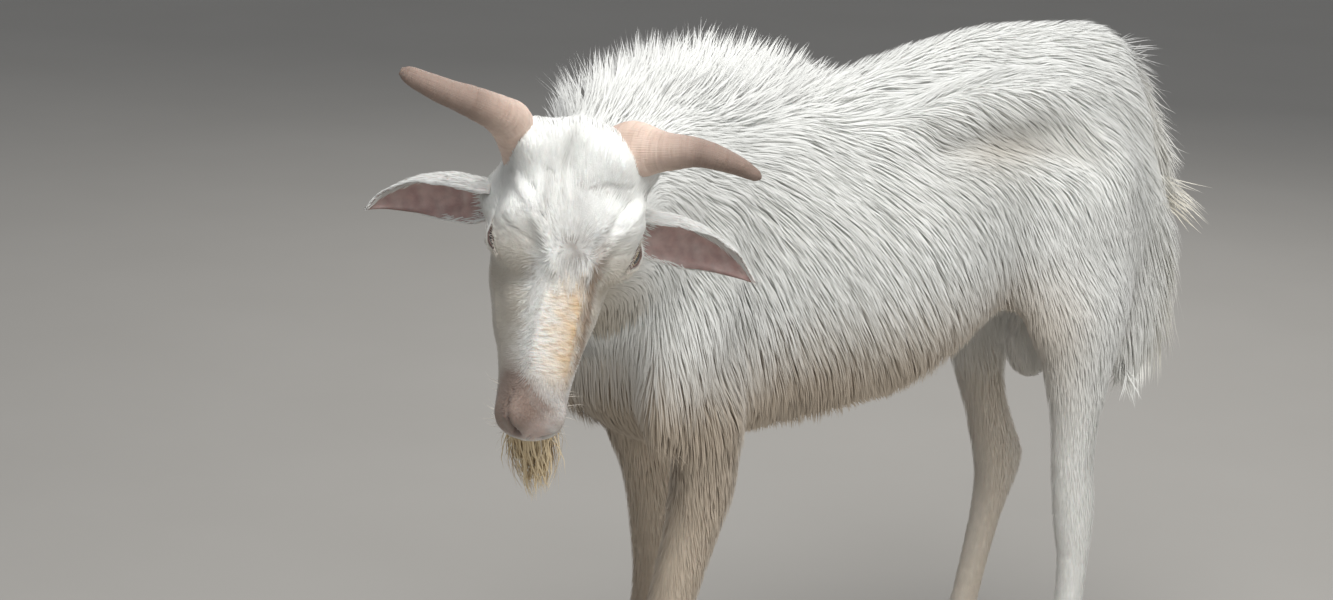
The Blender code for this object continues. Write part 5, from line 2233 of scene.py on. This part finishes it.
@dataclass
class Ears:
    """Two cupped leaves, rolled at the root, with ribbed pink insides and furry backs."""

    steps: int = 52
    turns: int = 25
    half_width: float = 0.02
    widest: float = 0.36
    root: tuple = (0.046, 0.03, -0.014)
    pale: tuple = (0.86, 0.83, 0.8)
    pink: tuple = (0.52, 0.36, 0.335)
    vein: tuple = (0.5, 0.27, 0.25)
    brown: tuple = (0.16, 0.09, 0.075)
    furry: Array = field(init=False)

    def tip(self, side: int) -> Array:
        """The ear's tip in the level head."""
        return np.array((0.146, 0.008, -0.036) if side > 0 else (-0.122, 0.013, -0.07))

    def half_breadth(self, t: float) -> float:
        """Reads the ear's outline.

        Args:
            t: a share of its length.

        Returns:
            Half its breadth there.
        """
        if t < self.widest:
            return self.half_width * (0.62 + 0.38 * math.sin(math.pi / 2 * t / self.widest))
        fallen = (t - self.widest) / (1 - self.widest)
        return max(self.half_width * max(math.cos(math.pi / 2 * fallen), 0) ** 0.8, 0.001)

    def build(self, fur: Tree, coat: Material) -> None:
        """Builds both ears and their hair.

        Args:
            fur: the short_fur group.
            coat: the finish of the hair.
        """
        finish = EarFinish().build(fur)
        for side, name in SIDES.items():
            piece = self.leaf(side, name)
            piece.data.materials.append(finish)
            ride(outward(piece), "ear", f"ear_{name}")
            unwrap(piece)
            root, tip = self.root * np.array([side, 1, 1]), self.tip(side)
            ground = Ground(piece, EarCoat(turn_from_head([unit(tip - root)])[0]))
            furry = self.furry[ground.tris].mean(1)
            roots = rooted(ground, furry > 0.45, 60 + side, 0.9)
            ride(Coat(ground, 4, tangle=0.16).grow(f"ear_hair_{name}", roots, coat, 64 + side), "coat")

    def leaf(self, side: int, name: str) -> Piece:
        """Makes the ear's own skin, ring by ring round its outside and back through its inside.

        Args:
            side: 1 for the left, -1 for the right.
            name: of the side.

        Returns:
            The leaf, closed at both ends.
        """
        root, tip = np.array(self.root) * [side, 1, 1], self.tip(side)
        along = unit(tip - root)
        opening = np.array([0, -0.8, 0.6])
        opening = unit(opening - along * (opening @ along))
        across = np.cross(along, opening)
        verts, marks = [], []
        for t in np.linspace(0, 1, self.steps):
            rolled = math.radians(112 - 56 * t)
            radius = self.half_breadth(t) / math.sin(min(rolled, math.pi / 2))
            wall = min(0.003 - 0.0012 * t, radius * 0.75)
            centre = root + (tip - root) * t - opening * (radius * math.cos(rolled) * 0.5)
            turns = np.linspace(-rolled, rolled, self.turns)
            ways = across * np.sin(turns)[:, None] - opening * np.cos(turns)[:, None]
            edge = np.abs(turns) / rolled
            thinner = wall * (1 - 0.55 * edge**6)
            ribs = 0.00055 * np.cos(turns * 7) * (1 - edge**4) * math.sin(math.pi * min(t * 1.15, 1))
            crimp = 0.0006 * np.sin(t * 21 + turns * 2.0) * edge**3
            verts.append(centre + ways * (radius + crimp)[:, None])
            inner = centre + ways * (radius + crimp - thinner + ribs)[:, None]
            verts.append(inner[::-1])
            upward = -side * turns / rolled
            marks.append(np.stack([turns * 0, turns * 0 + t, edge, upward], 1))
            marks.append(np.stack([turns * 0 + 1, turns * 0 + t, edge[::-1], upward[::-1]], 1))
        around = 2 * self.turns
        last = (self.steps - 1) * around
        ends = [tuple(range(around))[::-1], tuple(last + k for k in range(around))]
        faces = ring_faces(self.steps, around) + ends
        piece = mesh_object(f"ear_leaf_{name}", from_head(np.vstack(verts)), faces)
        self.mark(piece, *np.vstack(marks).T)
        return piece

    def mark(self, piece: Piece, inside: Array, level: Array, rim: Array, upward: Array) -> None:
        """Colours a leaf, and settles where it is furry.

        Args:
            piece: the leaf.
            inside: 1 for points of its inside.
            level: share of its length.
            rim: 1 at its edge and 0 in its middle.
            upward: from -1 at its lower edge to 1 at its upper one.
        """
        places = points_of(piece)
        mottle = ripple(places, 0.012, 31)
        fold = upward - 0.02 - 0.36 * level + 0.03 * mottle
        turned = eased(-0.05, 0.05, fold) * inside
        pink = np.clip(inside * (0.9 + 0.1 * mottle) - turned, 0, 1)
        colour = mixed(np.array(self.pale), self.pink, pink)
        # A thin brown line along the fold of the upper rim: painted shadow of the rim
        colour = mixed(colour, self.brown, np.exp(-((fold / 0.045) ** 2)) * inside * 0.4)
        veins = np.clip(0.5 + 0.5 * ripple(places, 0.006, 32), 0, 1) * inside * 0.22
        colour = mixed(colour, self.vein, veins * (1 - turned))
        dark = eased(0.82, 1.0, rim) * eased(0.35, 0.85, level)
        dark = np.maximum(dark, eased(0.92, 1.0, level))
        colour_attribute(piece, "marking_and_shade", mixed(colour, self.brown, dark * (0.35 + 0.5 * inside)))
        fringe = inside * eased(0.8, 0.95, rim) * eased(0.75, 0.3, level)
        throat = inside * eased(0.3, 0.05, level)
        self.furry = np.maximum(np.maximum(1 - inside, fringe), np.maximum(throat, turned))


# ---- beard and tail
@dataclass
class Tuft:
    """Long hair that follows a line and fills its outline: place, half width and half depth at stations."""

    stations: tuple
    across: tuple
    locks: int
    starts: tuple
    runs: tuple
    rings: int = 6
    wave: float = 0.0022
    swell: tuple = (0.75, 1.0)
    stray: float = 0.0

    def grow(self, name: str, colour: tuple, material: Material, seed: int) -> Piece:
        """Makes the tuft.

        Args:
            name: of the piece.
            colour: of its hair.
            material: its finish.
            seed: for its random draws.

        Returns:
            The piece.
        """
        draw = np.random.default_rng(seed)
        rows = smooth_rows(self.stations, 12)
        level = np.linspace(0, 1, len(rows))
        along = unit(np.gradient(rows[:, :3], axis=0))
        across = np.array(self.across, float)
        side = unit(across - along * (along @ across)[:, None])
        lines = np.hstack([rows[:, :3], side, np.cross(along, side), rows[:, 3:]])
        start = draw.uniform(*self.starts, self.locks)
        end = np.minimum(start + draw.uniform(*self.runs, self.locks), 1.0)
        spread = np.sqrt(draw.uniform(0.05, 1, self.locks))
        turn = draw.uniform(0, 2 * math.pi, self.locks)
        phase = draw.uniform(0, 2 * math.pi, self.locks)
        loose = draw.normal(size=(self.locks, 3)) * self.stray
        paths, ups = [], []
        for k in range(self.rings):
            t = k / (self.rings - 1)
            here = start + (end - start) * t
            swell = self.swell[0] + (self.swell[1] - self.swell[0]) * t
            found = np.stack([np.interp(here, level, column) for column in lines.T], 1)
            middle, out, deep, half_side, half_deep = np.split(found, (3, 6, 9, 10), axis=1)
            curl = np.sin(phase + t * 5) * self.wave * t
            wide = half_side[:, 0] * spread * swell * np.cos(turn) + curl
            thick = half_deep[:, 0] * spread * swell * np.sin(turn)
            paths.append(middle + out * wide[:, None] + deep * thick[:, None] + loose * t * t)
            ups.append(unit(out * np.cos(turn)[:, None] + deep * np.sin(turn)[:, None]))
        length = np.linalg.norm(paths[-1] - paths[0], axis=1)
        sizes = np.outer(length, (1, 0, 0, 0))
        flat = np.stack([draw.uniform(0.01, 0.99, self.locks), draw.uniform(0.01, 0.99, self.locks)], 1)
        roots = Roots(paths[0], ups[0], unit(paths[-1] - paths[0]), sizes, flat)
        piece = lock_mesh(name, np.stack(paths, 1), np.stack(ups, 1), roots, material, draw)
        each = len(piece.data.vertices) // self.locks
        shade = np.repeat(draw.normal(1, 0.05, (self.locks, 1)), each, 0)
        colour_attribute(piece, "marking_and_shade", np.clip(np.array(colour) * shade, 0, 1))
        return piece


@dataclass
class Tufts:
    """The beard under the chin and the tail.

    Each station has its place, half width and half depth in millimetres.
    """

    beard_colour: tuple = (0.78, 0.64, 0.42)
    tail_colour: tuple = (0.88, 0.87, 0.83)
    chin: tuple = (0.004, -0.09, -0.05)
    beard_stations: tuple = ((0, 0, 0, 11, 10), (3, 0, -22, 19, 12), (6, 2, -46, 16, 10), (8, 4, -70, 7, 4))
    tail_stations: tuple = (
        (0, 362, 642, 13, 9),
        (0, 388, 632, 17, 11),
        (0, 408, 595, 24, 12),
        (0, 434, 545, 25, 14),
        (0, 456, 493, 6, 4),
    )

    def build(self, coat: Material) -> None:
        """Grows both.

        Args:
            coat: the finish of their hair.
        """
        beard = np.array(self.beard_stations) / MM + [*from_head([self.chin])[0], 0, 0]
        beard = Tuft(beard, (0.5, 0.86, 0), 420, (0.0, 0.2), (0.3, 1.0), 6, 0.0045, (0.7, 1.1), 0.003)
        ride(beard.grow("beard_locks", self.beard_colour, coat, 81), "beard_hair", "beard")
        tail = np.array(self.tail_stations) / MM + [*HOME, 0, 0]
        tail = Tuft(tail, (1, 0, 0), 2200, (0.0, 0.8), (0.14, 0.3), 6, 0.0015, (0.35, 1.0), 0.0065)
        ride(tail.grow("tail_locks", self.tail_colour, coat, 82), "coat", "tail")


# ---- hooves
@dataclass(frozen=True)
class HoofFinish:
    """Dull brown-grey hoof horn with fine level growth lines, scuffed paler towards the ground."""

    name: str = "hoof_horn"
    dark: tuple = (0.17, 0.125, 0.085, 1)
    pale: tuple = (0.4, 0.32, 0.23, 1)
    mottle: tuple = (0.3, 0.24, 0.18, 1)
    scuff: tuple = (0.46, 0.39, 0.3, 1)

    def build(self) -> Material:
        """Makes the material.

        Returns:
            The material.
        """
        nodes = Dressing(self.name)
        place = nodes.place()
        height = nodes.add("ShaderNodeSeparateXYZ", {0: place}).outputs[2]
        level = nodes.plus(nodes.times(height, 330.0), nodes.times(nodes.noise(place, 60.0, 2.0), 1.6))
        drawn = {"W": level, "Scale": 1.0, "Detail": 2.0}
        lines = nodes.add("ShaderNodeTexNoise", drawn, noise_dimensions="1D").outputs[0]
        mottle = nodes.times(nodes.noise(place, 240.0, 4.0), 0.4)
        base = nodes.mix(mottle, nodes.mix(lines, self.dark, self.pale), self.mottle)
        base = nodes.mix(nodes.ranged(height, 0.0, 0.012, 0.6, 0.0), base, self.scuff)
        nodes.relief(nodes.plus(lines, mottle), 0.6, 0.0006)
        return nodes.done(base, {"Roughness": 0.62})


@dataclass
class Hooves:
    """The cloven hooves and dewclaws, smoothed from the frame's own."""

    levels: int = 3

    def build(self) -> None:
        """Builds each foot's claws as one piece."""
        finish = HoofFinish().build()
        for end in ("fore", "hind"):
            for side in SIDES.values():
                nodes = [f"{kind}_{end}_{side}_{edge}" for kind in ("claw", "dewclaw") for edge in "ab"]
                ride(self.foot(f"hoof_{end}_{side}", nodes, finish), "hoof", *nodes)

    def foot(self, name: str, nodes: list[str], finish: Material) -> Piece:
        """Rounds one foot's claws, but leaves them flat on the ground.

        Args:
            name: of the piece.
            nodes: the claws and dewclaws of the frame.
            finish: the material.

        Returns:
            The piece.
        """
        shape = bmesh.new()
        for node in nodes:
            shape.from_mesh(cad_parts[node].data)
        bmesh.ops.remove_doubles(shape, verts=shape.verts, dist=SAME_POINT)
        bmesh.ops.dissolve_limit(shape, angle_limit=math.radians(4), verts=shape.verts, edges=shape.edges)
        crease = shape.edges.layers.float.new("crease_edge")
        for edge in shape.edges:
            if max(v.co.z for v in edge.verts) < 0.0008 and len(edge.link_faces) == 2:
                if edge.calc_face_angle(0) > 0.5:
                    edge[crease] = 0.8
        data = bpy.data.meshes.new(name)
        shape.to_mesh(data)
        shape.free()
        piece = placed(name, data)
        rounding = piece.modifiers.new("round", "SUBSURF")
        rounding.levels = rounding.render_levels = self.levels
        applied(piece)
        piece.data.materials.clear()
        piece.data.materials.append(finish)
        return outward(piece)


# ---- whiskers
@dataclass
class Whiskers:
    """A few fine bristles on the lips and chin, aimed at within spans of X, Y and Z in the level head."""

    each_side: int = 34
    spans: tuple = ((0.006, 0.026), (-0.128, -0.088), (-0.05, -0.012))
    length: float = 0.014
    curl: float = 0.3
    colour: tuple = (0.7, 0.62, 0.52, 1)

    def build(self, skin: Ground) -> None:
        """Stands them on the skin.

        Args:
            skin: the skin's arrays.
        """
        draw = np.random.default_rng(91)
        places, ways = [], []
        for side in SIDES:
            for _ in range(self.each_side):
                aim = np.array([draw.uniform(*span) for span in self.spans]) * [side, 1, 1]
                spot, normal, _, _ = skin.tree.find_nearest(from_head([aim])[0].tolist())
                places.append(np.array(spot))
                down = turn_from_head([[0, 0.4, -0.6]])[0]
                lean = np.array(normal) * 0.8 + down * 0.5 + draw.normal(0, 0.15, 3)
                ways.append(unit(lean[None])[0] * draw.uniform(0.5, 1.2))
        finish = CoatFinish("whisker_hair").build_plain(self.colour)
        tree = bristle_tree("whisker_row", self.length, self.curl)
        ride(bristled("whiskers", np.array(places), np.array(ways), tree, finish), "coat")


# ---- studio
@dataclass(frozen=True)
class Lamp:
    """A square soft light: its place, the height that it looks at, its side, power and colour."""

    name: str
    place: tuple
    looks_at: float
    side: float
    power: float
    colour: tuple

    def build(self) -> None:
        """Hangs the light, turned to the goat's middle."""
        data = bpy.data.lights.new(self.name, "AREA")
        data.size = self.side
        data.energy = self.power
        data.color = self.colour
        lamp = placed(self.name, data)
        lamp.location = self.place
        aim = Vector((0, 0, self.looks_at)) - Vector(self.place)
        lamp.rotation_euler = aim.to_track_quat("-Z", "Y").to_euler()


@dataclass
class Studio:
    """A plain pale floor, soft lights and the camera."""

    lens: float = 81.0
    sensor: float = 36.0
    place: Vector = Vector((1.735, -1.636, 1.062))
    forward: Vector = Vector((-0.7352, 0.6335, -0.2411))
    upward: Vector = Vector((-0.2072, 0.1286, 0.9698))
    sky: tuple = (0.8, 0.82, 0.85, 1)
    sky_strength: float = 0.32
    floor_colours: tuple = ((0.4, 0.385, 0.36, 1), (0.44, 0.425, 0.4, 1))
    floor_reach: float = 30
    lamps: tuple = (
        Lamp("key", (1.1, -0.75, 2.5), 0.5, 1.4, 56.0, (1.0, 0.995, 0.98)),
        Lamp("side", (2.7, 1.2, 0.9), 0.4, 1.6, 17.0, (1.0, 0.99, 0.96)),
        Lamp("fill", (2.0, -2.4, 1.9), 0.45, 2.6, 10.0, (0.95, 0.97, 1.0)),
        Lamp("back", (-1.5, 1.8, 2.2), 0.5, 1.8, 30.0, (1.0, 0.98, 0.95)),
    )

    def build(self) -> None:
        """Makes the floor, the lights and the camera."""
        self.floor()
        for lamp in self.lamps:
            lamp.build()
        bpy.context.scene.view_settings.view_transform = "Standard"
        world = bpy.data.worlds.new("studio")
        world.use_nodes = True
        backdrop = world.node_tree.nodes["Background"]
        backdrop.inputs[0].default_value = self.sky
        backdrop.inputs[1].default_value = self.sky_strength
        bpy.context.scene.world = world
        self.camera()

    def floor(self) -> None:
        """Lays a wide pale floor."""
        corners = np.array([(-1, -1, 0), (1, -1, 0), (1, 1, 0), (-1, 1, 0)]) * self.floor_reach
        floor = mesh_object("floor", corners, [(0, 1, 2, 3)])
        nodes = Dressing("floor_pale")
        grain = nodes.noise(nodes.place(), 3.0, 4.0)
        floor.data.materials.append(nodes.done(nodes.mix(grain, *self.floor_colours), {"Roughness": 0.8}))

    def camera(self) -> None:
        """Stands the camera a little above the goat's back and off its left shoulder."""
        data = bpy.data.cameras.new("camera")
        data.lens = self.lens
        data.sensor_width = self.sensor
        eye = placed("camera", data)
        across = self.forward.cross(self.upward).normalized()
        turned = Matrix((across, across.cross(self.forward), -self.forward.normalized())).transposed()
        eye.matrix_world = Matrix.Translation(self.place + ORIGIN) @ turned.to_4x4()
        bpy.context.scene.camera = eye


# ---- assembly
def ride(piece: Piece, slot: str, *replaced: str) -> Piece:
    """Ties a finished piece to the frame's one body.

    Args:
        piece: the piece.
        slot: not used.
        replaced: the nodes that it stands for.

    Returns:
        The same piece.
    """
    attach(piece, "root")
    if replaced:
        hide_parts(*replaced)
    LOG.info("%s: %d triangles", piece.name, sum(len(p.vertices) - 2 for p in piece.data.polygons))
    return piece


def main() -> None:
    """Builds the goat's looks in order."""
    logging.basicConfig(level=logging.INFO, format="%(name)s %(message)s")
    fur = short_fur_group()
    coat_map = CoatMap()
    skin = Skin(coat_map)
    ride(skin.build(fur), "coat", *FLESH)
    ground = Ground(skin.body, coat_map)
    coat = CoatFinish("coat_hair").build(hair_grain_group())
    Pelt(ground, np.maximum(skin.bare, skin.strip * 0.56)).build(coat)
    Eyes().build()
    Horns().build()
    Ears().build(fur, coat)
    Tufts().build(coat)
    Hooves().build()
    Whiskers().build(ground)
    Studio().build()


if __name__ == "__main__":
    main()
